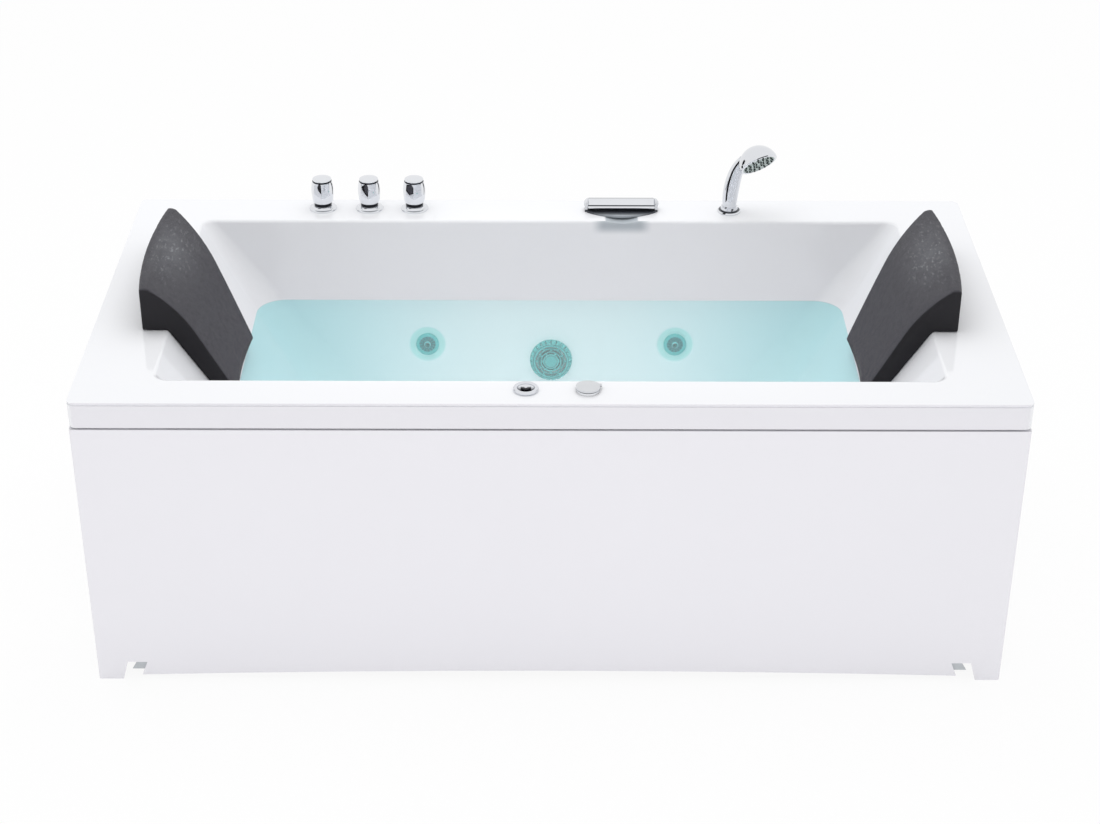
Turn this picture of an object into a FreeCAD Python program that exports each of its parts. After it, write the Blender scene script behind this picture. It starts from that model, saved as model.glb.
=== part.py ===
import FreeCAD, Part
import math
import os

from FreeCAD import Matrix, Rotation, Vector

os.makedirs("parts", exist_ok=True)

# Jetted bathtub for two bathers, modelled in millimetres.
# +X runs along the tub to the right of someone facing its front panel, +Y runs towards
# the wall behind it and +Z runs up. The origin is on the floor under the middle of the tub.

# ---------------------------------------------------------------- tub shell
tub_length = 1700.0
tub_width = 850.0
deck_height = 600.0
past = 1.0
deck_corner_radius = 14.0
shell_wall = 6.0
fascia_height = 50.0
groove_drop = 2.5
groove_height = 3.0
groove_depth = 1.5
end_deck = 140.0
front_deck = 87.0
back_deck = 102.0
basin_depth = 455.0
end_lean = math.radians(32.8)
side_lean = math.radians(9.0)
rim_corner_radius = 25.0
floor_corner_radius = 110.0
floor_round = 60.0
rim_round = 7.0

# ---------------------------------------------------------------- support
board_thickness = 18.0
board_length = 760.0
board_rim = 20.0
board_back_inset = 38.0
tube_size = 25.0
tube_wall = 2.0
post_set_back = 12.0
end_member_inset = 90.0
board_member_inset = 50.0
front_post_places = (-200.0, 200.0)
back_post_places = (-540.0, 270.0)
foot_inset = 85.0
foot_stud_radius = 6.0
foot_pad_radius = 25.0
foot_pad_height = 12.0
foot_nut_radius = 11.0
foot_nut_height = 10.0
foot_neck_share = 0.45

# ---------------------------------------------------------------- skirt panels
panel_gap = 4.0
panel_thickness = 5.0
panel_flange = 10.0
corner_foot = 46.0
notch_width = 48.0
notch_height = 39.0
notch_lean = 11.0
arch_end_height = 10.0
arch_middle_height = 20.0
panel_seam = 0.5
clip_thickness = 2.0
clip_width = 30.0
clip_height = 40.0
lower_clip_show = 19.0
lower_clip_overlap = 20.0

# ---------------------------------------------------------------- headrests
headrest_line = 23.0
headrest_width = 358.0
headrest_toe_width = 231.0
headrest_height = 86.0
headrest_overlap = 47.0
headrest_bulge = 13.5
headrest_tip = 9.0
headrest_drop = 155.0
headrest_flat = 15.0
headrest_curl_mid = Vector(11.5, 0, 49.8)
headrest_curl_end = Vector(55.0, 0, -11.0)
headrest_toe_edge = Vector(123.5, 0, -138.0)
headrest_toe_bow = 9.5
headrest_flank_bow = 4.5
headrest_edge = 5.0
headrest_clearance = 0.3
peg_radius = 6.0
peg_length = 18.0
peg_places = (-85.0, 105.0)
peg_inset = 22.0

# ---------------------------------------------------------------- taps on the back deck
tap_inset = 41.0
hot_place = -469.0
cold_place = -373.0
diverter_place = -280.0
tap_flange_radius = 28.5
tap_flange_height = 8.0
tap_neck_radius = 18.0
tap_neck_height = 7.8
knob_sides = 8
knob_height = 51.0
knob_foot_radius = 20.8
knob_belly_radius = 22.8
knob_top_radius = 19.5
knob_gap = 0.2
spindle_radius = 5.0
spindle_length = 62.0
spindle_head = 30.0
running_gap = 0.05
valve_shank_radius = 13.5
valve_body_radius = 16.0
valve_body_height = 50.0
valve_body_drop = 24.0
supply_tail_radius = 10.48
supply_tail_length = 28.0
supply_bore_radius = 7.0
supply_arm_reach = 35.0
supply_arm_rise = 14.0
supply_elbow_radius = 13.0
supply_shoulder_radius = 14.0
supply_shoulder_length = 8.0
elbow_overlap = 3.0
outlet_arm_reach = 28.0
hole_clearance = 0.5
link_pipe_radius = 7.5
link_pipe_wall = 1.0
link_pipe_drop = 55.0
nut_height = 10.0
nut_across = 1.35
seal_thickness = 2.0

# ---------------------------------------------------------------- waterfall spout
spout_place = 147.0
spout_bar_length = 138.0
spout_cheek = 8.0
spout_cheek_radius = 11.5
spout_bar_inset = 64.0
spout_bar_depth = 33.0
spout_bar_height = 12.0
spout_lip_height = 4.5
spout_mouth = 5.5
spout_tray_thickness = 4.0
spout_tray_reach = 21.0
spout_tail_radius = 12.0
spout_tail_length = 70.0
spout_bore_radius = 8.0
chute_width = 72.0
chute_depth = 5.0
chute_overlap = 9.0

# ---------------------------------------------------------------- hand shower
shower_place = 370.0
shower_inset = 51.0
holder_flange_radius = 24.0
holder_height = 12.0
holder_hub_radius = 17.0
holder_bore_radius = 11.0
holder_tail_radius = 12.5
holder_tail_length = 34.0
shower_plug_radius = 10.7
shower_plug_depth = 14.0
shower_handle_steps = (
    (Vector(0.0, 0.0, 12.0), Vector(0.0, 0.0, 1.0), 14.0),
    (Vector(1.5, -1.5, 42.0), Vector(0.08, -0.06, 1.0), 16.0),
    (Vector(6.0, -5.0, 74.0), Vector(0.20, -0.14, 0.97), 15.5),
    (Vector(13.5, -10.5, 102.0), Vector(0.34, -0.26, 0.90), 13.0),
    (Vector(23.0, -17.5, 121.0), Vector(0.60, -0.40, 0.69), 10.5),
)
shower_head_step = Vector(53.0, -34.0, 118.5)
shower_spray_way = Vector(0.37, -0.64, -0.67)
shower_head_radius = 40.0
shower_head_depth = 40.0
shower_rim_height = 6.0
shower_rim_round = 1.5
spray_plate_radius = 34.0
spray_plate_depth = 3.0
spray_nozzle_radius = 1.8
spray_nozzle_height = 3.5
spray_ring_radii = (10.0, 20.0, 29.0)
spray_ring_counts = (6, 12, 16)

# ---------------------------------------------------------------- controls on the front deck
button_across = -44.0
button_inset = 51.0
button_bezel_radius = 22.5
button_bezel_height = 7.0
button_dish_radius = 16.5
button_radius = 9.5
button_travel = 3.0
button_tail_radius = 13.0
button_tail_length = 34.0
bellows_radius = 16.0
bellows_height = 28.0
air_across = 66.0
air_inset = 52.0
air_cap_radius = 22.0
air_cap_height = 5.0
air_base_radius = 20.0
air_base_height = 3.0
air_tail_radius = 13.0
air_tail_length = 50.0
air_stem_radius = 5.0

# ---------------------------------------------------------------- jets and suction
jet_places = (-255.0, 262.0)
jet_rise = 190.0
dimple_radius = 40.5
dimple_flat_radius = 25.0
dimple_depth = 5.0
boss_radius = 46.0
jet_ring_radius = 23.5
jet_ring_rise = 1.5
jet_throat_radius = 17.0
jet_tube_wall = 2.5
jet_tube_length = 45.0
jet_nut_radius = 28.0
jet_nut_height = 8.0
jet_ball_radius = 14.0
jet_ball_depth = 8.0
jet_bore_radius = 5.5
suction_place = 3.0
suction_rise = 158.0
suction_cover_radius = 44.0
suction_face_radius = 36.0
suction_cover_height = 13.0
suction_cover_wall = 3.0
suction_hub_radius = 13.0
suction_slot_width = 3.0
suction_slot_pitch = 6.0
suction_slot_rings = 3
suction_bridges = 3
suction_bridge_width = 4.0
suction_rim_slots = 24
suction_throat_radius = 26.0
suction_housing_radius = 38.0
suction_housing_length = 26.0

# ---------------------------------------------------------------- waste and overflow
drain_inset = 86.0
drain_flange_radius = 36.0
drain_flange_height = 4.0
drain_recess_radius = 27.0
drain_tube_radius = 25.0
drain_tube_wall = 3.0
drain_tube_length = 62.0
drain_hub_radius = 8.0
plug_radius = 26.0
plug_cap_height = 5.0
plug_stem_radius = 4.0
drain_hub_drop = 14.0
drain_hub_height = 10.0
plug_lift = 8.0
overflow_drop = 120.0
overflow_cover_radius = 34.0
overflow_cover_height = 4.0
overflow_knob_radius = 33.0
overflow_knob_height = 18.0
overflow_throat_radius = 22.0
overflow_housing_radius = 30.0
overflow_housing_length = 30.0
sump_radius = 45.0
sump_depth = 55.0
sump_wall = 3.0
sump_lap = 14.0
waste_line_rise = 27.0
waste_pipe_radius = 20.0
waste_pipe_wall = 2.0
waste_union_radius = 25.0
waste_union_length = 15.0
waste_tail_length = 40.0
overflow_pipe_inset = 60.0
overflow_pipe_radius = 16.0

# ---------------------------------------------------------------- pump and control box
pump_inset = 170.0
pump_axis_rise = 85.0
pump_board_front = -290.0
pump_board_back = 205.0
pump_board_half_width = 98.0
pump_member_set_off = 90.0
volute_front = 125.0
volute_length = 60.0
volute_radius = 78.0
volute_wall = 9.0
pump_inlet_length = 16.0
pump_outlet_rise = 8.0
motor_radius = 62.0
motor_length = 215.0
motor_fins = 9
motor_fin_height = 5.0
motor_fin_width = 4.0
pump_shaft_radius = 8.0
impeller_radius = 58.0
impeller_blades = 6
impeller_disc = 4.0
impeller_blade_height = 22.0
control_box_length = 150.0
control_box_depth = 80.0
control_box_height = 90.0

# ---------------------------------------------------------------- rigid pipework
suction_pipe_radius = 25.0
suction_pipe_inset = 75.0
water_pipe_radius = 16.0
water_pipe_set_off = 50.0
water_pipe_rise = 45.0
riser_radius = 10.0
tee_reach = 27.0
tee_wall = 8.0
air_pipe_radius = 8.0
air_pipe_set_off = 21.0
air_pipe_drop = 200.0
air_pipe_inset = 210.0
pipe_wall = 2.5

# Places that follow from the sizes above.
half_length = tub_length / 2
half_width = tub_width / 2
deck_under = deck_height - shell_wall
basin_floor = deck_height - basin_depth
floor_under = basin_floor - shell_wall
board_under = floor_under - board_thickness
rail_under = board_under - tube_size
fascia_foot = deck_height - fascia_height
panel_top = fascia_foot - panel_gap
post_end_face = half_length - panel_thickness - post_set_back
overflow_height = deck_height - overflow_drop
jet_height = basin_floor + jet_rise
suction_height = basin_floor + suction_rise
water_pipe_height = basin_floor + water_pipe_rise
air_pipe_height = deck_height - air_pipe_drop
drain_foot = basin_floor - drain_tube_length
sump_floor = drain_foot - sump_depth
waste_line_height = sump_floor + waste_line_rise
board_member = board_length / 2 - board_member_inset
end_member = half_length - end_member_inset
cross_member_places = (-end_member, -board_member, board_member, end_member)
foot_reach = half_width - foot_inset
headrest_outer = half_length - end_deck + headrest_overlap
headrest_front = headrest_line - headrest_width / 2
headrest_back = headrest_line + headrest_width / 2
tap_line = half_width - tap_inset
spout_bar_front = half_width - spout_bar_inset
spout_tray_front = spout_bar_front - spout_tray_reach
chute_start = spout_bar_front - chute_overlap
shower_foot = Vector(shower_place, half_width - shower_inset, deck_height)
shower_head_centre = shower_foot + shower_head_step
button_place = Vector(button_across, button_inset - half_width, 0)
air_place = Vector(air_across, air_inset - half_width, 0)
overflow_pipe_line = overflow_pipe_inset - half_width
pump_place = half_length - pump_inset
pump_member_place = pump_place - pump_member_set_off
suction_pipe_line = half_width - suction_pipe_inset
air_pipe_end = air_pipe_inset - half_length
post_side_face = half_width - panel_thickness - post_set_back
tap_head = deck_height + tap_flange_height + tap_neck_height
pump_board_top = board_under + board_thickness
pump_axis_height = pump_board_top + pump_axis_rise

X_WAY = Vector(1, 0, 0)
Y_WAY = Vector(0, 1, 0)
Z_WAY = Vector(0, 0, 1)


# ---------------------------------------------------------------- shared forms
def block(x0, x1, y0, y1, z0, z1):
    """Box between two corners."""
    return Part.makeBox(x1 - x0, y1 - y0, z1 - z0, Vector(x0, y0, z0))


def rod(radius, start, end):
    """Round bar from one point to another."""
    way = end - start
    return Part.makeCylinder(radius, way.Length, start, way)


def tube(outer, inner, start, end):
    """Round tube from one point to another."""
    return rod(outer, start, end).cut(rod(inner, start, end))


def wire_of(steps, to_point):
    """Closed wire. A step is an end point (a, b), or the middle and the end of an arc."""
    edges = []
    here = to_point(steps[0])
    start = here
    for step in steps[1:] + [steps[0]]:
        if isinstance(step[0], tuple):
            end = to_point(step[1])
            edges.append(Part.Arc(here, to_point(step[0]), end).toShape())
        else:
            end = to_point(step)
            if end.distanceToPoint(here) > 1e-6:
                edges.append(Part.LineSegment(here, end).toShape())
        here = end
    assert here.distanceToPoint(start) < 1e-6
    return Part.Wire(edges)


def turned(steps):
    """Solid turned about +Z from an outline of (radius, height) steps."""
    outline = wire_of(steps, lambda p: Vector(p[0], 0, p[1]))
    return Part.Face(outline).revolve(Vector(0, 0, 0), Z_WAY, 360)


def dome_step(radius, foot, top):
    """Arc step up a round cap, from (radius, foot) to its crown on the axis at (0, top)."""
    rise = top - foot
    ball = (radius ** 2 + rise ** 2) / (2 * rise)
    turn = math.asin(radius / ball) / 2
    return ((ball * math.sin(turn), top - ball * (1 - math.cos(turn))), (0, top))


def extruded_along_y(steps, y0, y1):
    """Solid with an outline of (x, z) steps, from y0 to y1."""
    outline = wire_of(steps, lambda p: Vector(p[0], y0, p[1]))
    return Part.Face(outline).extrude(Vector(0, y1 - y0, 0))


def extruded_along_x(steps, x0, x1):
    """Solid with an outline of (y, z) steps, from x0 to x1."""
    outline = wire_of(steps, lambda p: Vector(x0, p[0], p[1]))
    return Part.Face(outline).extrude(Vector(x1 - x0, 0, 0))


def extruded_up(steps, z0, z1):
    """Solid with an outline of (x, y) steps, from z0 to z1."""
    outline = wire_of(steps, lambda p: Vector(p[0], p[1], z0))
    return Part.Face(outline).extrude(Vector(0, 0, z1 - z0))


def placed(shape, point, way=Z_WAY):
    """Copy of a shape with its +Z turned to a direction and its origin moved to a point."""
    copy = shape.copy()
    copy.Placement = FreeCAD.Placement(point, Rotation(Z_WAY, way)).multiply(copy.Placement)
    return copy


def mirrored_x(shape):
    """Copy of a shape mirrored from one end of the tub to the other."""
    return shape.mirror(Vector(0, 0, 0), X_WAY)


def joined(shapes):
    """One solid made of overlapping shapes."""
    whole = shapes[0].fuse(shapes[1:]) if len(shapes) > 1 else shapes[0]
    return whole.removeSplitter()


def rounded_rectangle(x0, x1, y0, y1, radius, z):
    """Closed wire of a rectangle with round corners, level at height z."""
    slack = radius * (1 - math.sqrt(0.5))
    steps = [
        (x0 + radius, y0),
        (x1 - radius, y0),
        ((x1 - slack, y0 + slack), (x1, y0 + radius)),
        (x1, y1 - radius),
        ((x1 - slack, y1 - slack), (x1 - radius, y1)),
        (x0 + radius, y1),
        ((x0 + slack, y1 - slack), (x0, y1 - radius)),
        (x0, y0 + radius),
        ((x0 + slack, y0 + slack), (x0 + radius, y0)),
    ]
    return wire_of(steps, lambda p: Vector(p[0], p[1], z))


def rounded_slab(x0, x1, y0, y1, radius, z0, z1):
    """Level slab with round corners."""
    face = Part.Face(rounded_rectangle(x0, x1, y0, y1, radius, z0))
    return face.extrude(Vector(0, 0, z1 - z0))


def hexagon(radius, z0, z1):
    """Hexagonal bar round the Z axis; the radius is half the distance across its flats."""
    corner = radius / math.cos(math.pi / 6)
    points = [
        (corner * math.cos(math.pi * k / 3), corner * math.sin(math.pi * k / 3))
        for k in range(6)
    ]
    return extruded_up(points, z0, z1)


def write(node, shape):
    """Save one node."""
    shape.exportStep("parts/" + node + ".step")


# ---------------------------------------------------------------- the basin's walls
def end_wall(z):
    """Distance from the middle of the tub to an end wall's wet face at height z."""
    return half_length - end_deck - (deck_height - z) * math.tan(end_lean)


def front_wall(z):
    """Y of the front wall's wet face at height z."""
    return -half_width + front_deck + (deck_height - z) * math.tan(side_lean)


def back_wall(z):
    """Y of the back wall's wet face at height z."""
    return half_width - back_deck - (deck_height - z) * math.tan(side_lean)


def basin_section(z, grow):
    """Outline of the basin at height z, grown outwards level by an amount."""
    share = (deck_height - z) / basin_depth
    radius = rim_corner_radius + share * (floor_corner_radius - rim_corner_radius)
    x = end_wall(z) + grow
    return rounded_rectangle(-x, x, front_wall(z) - grow, back_wall(z) + grow, radius + grow, z)


def basin_block(grow):
    """The basin's hollow, or with a wall's thickness to grow by, the outside of its shell."""
    foot = basin_floor - grow
    body = Part.makeLoft([basin_section(foot, grow), basin_section(deck_height, grow)], True, True)
    low_edges = [e for e in body.Edges if e.BoundBox.ZMax < foot + 0.01]
    return body.makeFillet(floor_round + grow, low_edges)


def wall_point(x, z, side):
    """Point on the wet face of the back wall (side 1) or the front wall (side -1)."""
    return Vector(x, back_wall(z) if side > 0 else front_wall(z), z)


def wall_way(side):
    """Direction out of the back wall (side 1) or the front wall (side -1) into the basin."""
    return Vector(0, -side * math.cos(side_lean), math.sin(side_lean))


def jet_spots():
    """Point and direction of every jet, back wall first."""
    return [(wall_point(x, jet_height, side), wall_way(side)) for side in (1, -1) for x in jet_places]


def water_line(side):
    """Y of the pressure pipe behind the back wall (side 1) or the front wall (side -1)."""
    wall = back_wall(water_pipe_height) if side > 0 else front_wall(water_pipe_height)
    return wall + side * water_pipe_set_off


def air_line(side):
    """Y of the air pipe behind the back wall (side 1) or the front wall (side -1)."""
    wall = back_wall(air_pipe_height) if side > 0 else front_wall(air_pipe_height)
    return wall + side * air_pipe_set_off


suction_point = wall_point(suction_place, suction_height, 1)
overflow_point = wall_point(0.0, overflow_height, -1)
drain_line = front_wall(basin_floor) + drain_inset
drain_point = Vector(0, drain_line, basin_floor)


# ---------------------------------------------------------------- tub shell
def deck_holes():
    """Cutters for everything that passes down through the deck."""
    spots = [(x, tap_line, valve_shank_radius) for x in (hot_place, cold_place, diverter_place)]
    spots.append((spout_place, tap_line, spout_tail_radius))
    spots.append((shower_place, shower_foot.y, holder_tail_radius))
    spots.append((button_place.x, button_place.y, button_tail_radius))
    spots.append((air_place.x, air_place.y, air_tail_radius))
    peg_line = headrest_outer - peg_inset
    spots += [(side * peg_line, y, peg_radius) for side in (-1, 1) for y in peg_places]
    return [
        rod(r + hole_clearance, Vector(x, y, deck_under - 1), Vector(x, y, deck_height + 1))
        for x, y, r in spots
    ]


def make_tub_shell():
    """Acrylic shell: level deck, fascia all round, leaning basin, jet dimples and spout chute."""
    foot = fascia_foot
    skirt = rounded_slab(-half_length, half_length, -half_width, half_width,
                         deck_corner_radius, foot, deck_height)
    inner_x = half_length - shell_wall
    inner_y = half_width - shell_wall
    skirt_hollow = rounded_slab(-inner_x, inner_x, -inner_y, inner_y,
                                deck_corner_radius - shell_wall, foot - 1, deck_under)
    skirt = skirt.cut(skirt_hollow)
    boss = rod(boss_radius, Vector(0, 0, -dimple_depth - shell_wall), Vector(0, 0, -1))
    bosses = [placed(boss, point, way) for point, way in jet_spots()]
    chute_radius = ((chute_width / 2) ** 2 + chute_depth ** 2) / (2 * chute_depth)
    chute_axis = deck_height + chute_radius - chute_depth
    chute_end = half_width - back_deck - 4 * rim_round
    pan = block(spout_place - chute_width / 2 - shell_wall, spout_place + chute_width / 2 + shell_wall,
                half_width - back_deck, chute_start + shell_wall, deck_under - chute_depth, deck_under)
    shell = joined([skirt, basin_block(shell_wall), pan] + bosses)
    shell = shell.cut(basin_block(0.0))
    mouth_edges = [
        e for e in shell.Edges
        if e.BoundBox.ZMin > deck_height - 0.01
        and e.BoundBox.XMax < half_length - 1 and e.BoundBox.XMin > 1 - half_length
        and e.BoundBox.YMax < half_width - 1 and e.BoundBox.YMin > 1 - half_width
    ]
    shell = shell.makeFillet(rim_round, mouth_edges)
    chute = rod(chute_radius, Vector(spout_place, chute_end, chute_axis),
                Vector(spout_place, chute_start, chute_axis))
    dimple = turned([
        (0, -dimple_depth), (dimple_flat_radius, -dimple_depth),
        (dimple_radius, 0), (dimple_radius, 1), (0, 1),
    ])
    throat = rod(jet_throat_radius + jet_tube_wall + hole_clearance,
                 Vector(0, 0, -dimple_depth - 3 * shell_wall), Vector(0, 0, 1))
    cutters = [placed(c, point, way) for point, way in jet_spots() for c in (dimple, throat)]
    suction_hole = rod(suction_throat_radius + hole_clearance,
                       Vector(0, 0, -3 * shell_wall), Vector(0, 0, shell_wall))
    cutters.append(placed(suction_hole, suction_point, wall_way(1)))
    overflow_hole = rod(overflow_throat_radius + hole_clearance,
                        Vector(0, 0, -3 * shell_wall), Vector(0, 0, shell_wall))
    cutters.append(placed(overflow_hole, overflow_point, wall_way(-1)))
    cutters.append(rod(drain_tube_radius + hole_clearance, drain_point - Z_WAY * 2 * shell_wall,
                       drain_point + Z_WAY))
    groove_top = deck_height - groove_drop
    groove_foot = groove_top - groove_height
    around = rounded_slab(-half_length - 1, half_length + 1, -half_width - 1, half_width + 1,
                          deck_corner_radius + 1, groove_foot, groove_top)
    x = half_length - groove_depth
    y = half_width - groove_depth
    groove = around.cut(rounded_slab(-x, x, -y, y, deck_corner_radius - groove_depth,
                                     groove_foot - 1, groove_top + 1))
    cutters += [chute, groove] + deck_holes()
    write("tub_shell", shell.cut(cutters))


# ---------------------------------------------------------------- board, frame and feet
def square_tube(start, end):
    """Square steel tube along X, Y or Z between the middles of its ends."""
    way = end - start
    outer = Vector(tube_size / 2, tube_size / 2, tube_size / 2)
    inner = outer - Vector(tube_wall, tube_wall, tube_wall)
    solids = []
    for reach in (outer, inner):
        low = Vector(*(min(a, b) for a, b in zip(start, end)))
        high = Vector(*(max(a, b) for a, b in zip(start, end)))
        if way.x == 0:
            low.x, high.x = start.x - reach.x, start.x + reach.x
        if way.y == 0:
            low.y, high.y = start.y - reach.y, start.y + reach.y
        if way.z == 0:
            low.z, high.z = start.z - reach.z, start.z + reach.z
        solids.append(block(low.x, high.x, low.y, high.y, low.z, high.z))
    return solids[0].cut(solids[1])


def foot_spots():
    """Places of the levelling feet, under the cross members."""
    return [Vector(x, y, 0) for x in cross_member_places for y in (-foot_reach, foot_reach)]


def make_support():
    """Board under the basin, welded steel frame and screwed levelling feet."""
    board = block(-board_length / 2, board_length / 2, drain_line - sump_radius - board_rim,
                  back_wall(basin_floor) - board_back_inset, board_under, floor_under)
    drain_hole = rod(sump_radius, Vector(0, drain_line, board_under - 1),
                     Vector(0, drain_line, floor_under + 1))
    write("base_board", board.cut(drain_hole))

    rail_line = post_side_face - tube_size / 2
    rail_level = rail_under + tube_size / 2
    rails = [
        square_tube(Vector(-post_end_face, side * rail_line, rail_level),
                    Vector(post_end_face, side * rail_line, rail_level))
        for side in (-1, 1)
    ]
    write("frame_long_rails", Part.makeCompound(rails))

    reach = post_side_face - tube_size
    places = cross_member_places + (pump_member_place,)
    members = []
    for x in places:
        member = square_tube(Vector(x, -reach, rail_level), Vector(x, reach, rail_level))
        if x != pump_member_place:
            for side in (-1, 1):
                member = member.cut(rod(foot_stud_radius, Vector(x, side * foot_reach, rail_under - 1),
                                        Vector(x, side * foot_reach, rail_under + tube_wall + 1)))
        members.append(member)
    write("frame_cross_members", Part.makeCompound(members))

    corner = post_end_face - tube_size / 2
    spots = [(sx * corner, sy * rail_line) for sx in (-1, 1) for sy in (-1, 1)]
    spots += [(x, -rail_line) for x in front_post_places]
    spots += [(x, rail_line) for x in back_post_places]
    posts = [square_tube(Vector(x, y, rail_under + tube_size), Vector(x, y, deck_under)) for x, y in spots]
    write("frame_posts", Part.makeCompound(posts))

    pad = turned([
        (0, 0), (foot_pad_radius, 0), (foot_pad_radius, foot_pad_height / 3),
        (foot_pad_radius * foot_neck_share, foot_pad_height), (0, foot_pad_height),
    ])
    stud_top = rail_under + tube_wall + foot_nut_height / 2
    nut = hexagon(foot_nut_radius, rail_under - foot_nut_height, rail_under)
    nut = nut.cut(rod(foot_stud_radius, Vector(0, 0, 0), Vector(0, 0, rail_under + 1)))
    write("foot_pads", Part.makeCompound([placed(pad, spot) for spot in foot_spots()]))
    write("foot_studs", Part.makeCompound([
        rod(foot_stud_radius, spot + Z_WAY * foot_pad_height, spot + Z_WAY * stud_top)
        for spot in foot_spots()
    ]))
    write("foot_nuts", Part.makeCompound([placed(nut, spot) for spot in foot_spots()]))


# ---------------------------------------------------------------- skirt panels
def arch_steps(reach):
    """Outline of what is cut away under a panel: a notch beside each foot and a low arch."""
    inner = reach - notch_width
    arch = inner + notch_lean
    return [
        (-reach, -past), (-reach + notch_lean, notch_height), (-inner, notch_height),
        (-arch, arch_end_height), ((0, arch_middle_height), (arch, arch_end_height)),
        (inner, notch_height), (reach - notch_lean, notch_height), (reach, -past),
    ]


def make_panels():
    """Front panel with returned ends, two end panels and the clips behind their top edges."""
    inner_x = half_length - panel_thickness
    return_back = -half_width + corner_foot
    tray = block(-half_length, half_length, -half_width, return_back, 0, panel_top)
    tray = tray.cut(block(-inner_x, inner_x, -half_width + panel_thickness, return_back + 1,
                          -1, panel_top - panel_thickness))
    tray = tray.cut(block(-inner_x, inner_x, -half_width + panel_thickness + panel_flange,
                          return_back + 1, 0, panel_top + 1))
    upright_edges = [
        e for e in tray.Edges
        if e.BoundBox.ZLength > panel_top - 1 and e.BoundBox.YMax < 0.01 - half_width
    ]
    tray = tray.makeFillet(deck_corner_radius / 3, upright_edges)
    arch = extruded_along_y(arch_steps(half_length - corner_foot), -half_width - 1,
                            -half_width + panel_thickness + 1)
    write("front_panel", tray.cut(arch))

    front = return_back + panel_seam
    side = block(-half_length, -inner_x, front, half_width, 0, panel_top)
    flange_reach = post_side_face - tube_size - 1
    side = side.fuse(block(-inner_x, -inner_x + panel_flange, front, flange_reach,
                           panel_top - panel_thickness, panel_top)).removeSplitter()
    side = side.cut(extruded_along_x(arch_steps(half_width - corner_foot),
                                     -half_length - 1, -inner_x + 1))
    side = side.cut(block(-half_length - 1, -inner_x + 1, front - 1, -half_width + corner_foot + notch_width,
                          -1, notch_height))
    write("end_panel_left", side)
    write("end_panel_right", mirrored_x(side))

    clips = []
    flange_under = panel_top - panel_thickness
    for x in front_post_places + (-post_end_face + tube_size / 2, post_end_face - tube_size / 2):
        leg = block(x - clip_width / 2, x + clip_width / 2, -post_side_face - clip_thickness, -post_side_face,
                    flange_under - clip_height, flange_under)
        arm = block(x - clip_width / 2, x + clip_width / 2, -half_width + panel_thickness,
                    -post_side_face - clip_thickness, flange_under - clip_thickness, flange_under)
        clips.append(leg.fuse(arm).removeSplitter())
    for end in (-1, 1):
        for y in (-1, 1):
            middle = y * (post_side_face - tube_size / 2)
            inner = middle - y * clip_width
            y0, y1 = min(middle, inner), max(middle, inner)
            x0, x1 = sorted((end * inner_x, end * post_end_face))
            clips.append(block(x0, x1, y0, y1, flange_under - clip_height,
                               flange_under - 4 * clip_thickness))
    inner = half_length - corner_foot - notch_width
    shown = inner + lower_clip_show
    hidden = inner - lower_clip_overlap
    lower_clip = extruded_along_y([
        (-shown - notch_lean, arch_middle_height), (-shown, notch_height),
        (-shown, notch_height + lower_clip_overlap), (-hidden, notch_height + lower_clip_overlap),
        (-hidden, arch_middle_height),
    ], -half_width + panel_thickness, -half_width + panel_thickness + clip_thickness)
    clips += [lower_clip, mirrored_x(lower_clip)]
    write("panel_clips", Part.makeCompound(clips))


# ---------------------------------------------------------------- headrests
def from_rim(step):
    """Level distance from the middle of the tub and height of a step in and up from the end rim."""
    return -(end_wall(deck_height) - step.x), deck_height + step.z


def headrest_steps():
    """Side view of the left headrest: a hooked pad on the deck and down the end wall."""
    rest = deck_height + headrest_clearance
    top = deck_height + headrest_height
    level = headrest_clearance / math.cos(end_lean)
    toe = deck_height - headrest_drop
    return [
        (-headrest_outer - headrest_bulge, rest),
        (-end_wall(rest) + level, rest),
        (-end_wall(toe) + level, toe),
        from_rim(headrest_toe_edge),
        from_rim(headrest_curl_end),
        (from_rim(headrest_curl_mid), (-headrest_outer + headrest_flat, top)),
        (-headrest_outer - headrest_bulge, top),
    ]


def make_headrests():
    """Two moulded pads with a bowed outer edge, narrowing towards the water, on push-in pegs."""
    body = extruded_along_y(headrest_steps(), headrest_front, headrest_back)
    toe_x = from_rim(headrest_toe_edge)[0]
    toe_back = headrest_front + headrest_toe_width
    toe_middle = (headrest_front + toe_back) / 2
    tip_x = -headrest_outer + headrest_tip
    flank = Vector(toe_x - tip_x, toe_back - headrest_back, 0)
    bow = Vector(-flank.y, flank.x, 0).normalize() * headrest_flank_bow
    flank_middle = Vector(tip_x, headrest_back, 0) + flank * 0.5 + bow
    plan = extruded_up([
        (toe_x, headrest_front), ((toe_x - headrest_toe_bow, toe_middle), (toe_x, toe_back)),
        ((flank_middle.x, flank_middle.y), (tip_x, headrest_back)),
        (-headrest_outer, headrest_back),
        ((-headrest_outer - headrest_bulge, headrest_line), (-headrest_outer, headrest_front)),
    ], deck_height - headrest_drop - past, deck_height + headrest_height + past)
    pad = body.common(plan)
    top_edges = [
        e for e in pad.Edges
        if e.BoundBox.ZMin > deck_height + headrest_height - headrest_clearance
    ]
    pad = pad.makeFillet(headrest_edge, top_edges)
    pegs = [
        rod(peg_radius, Vector(-headrest_outer + peg_inset, y, deck_height - peg_length),
            Vector(-headrest_outer + peg_inset, y, deck_height + 2 * peg_radius))
        for y in peg_places
    ]
    pad = joined([pad] + pegs)
    write("headrest_left", pad)
    write("headrest_right", mirrored_x(pad))


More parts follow.
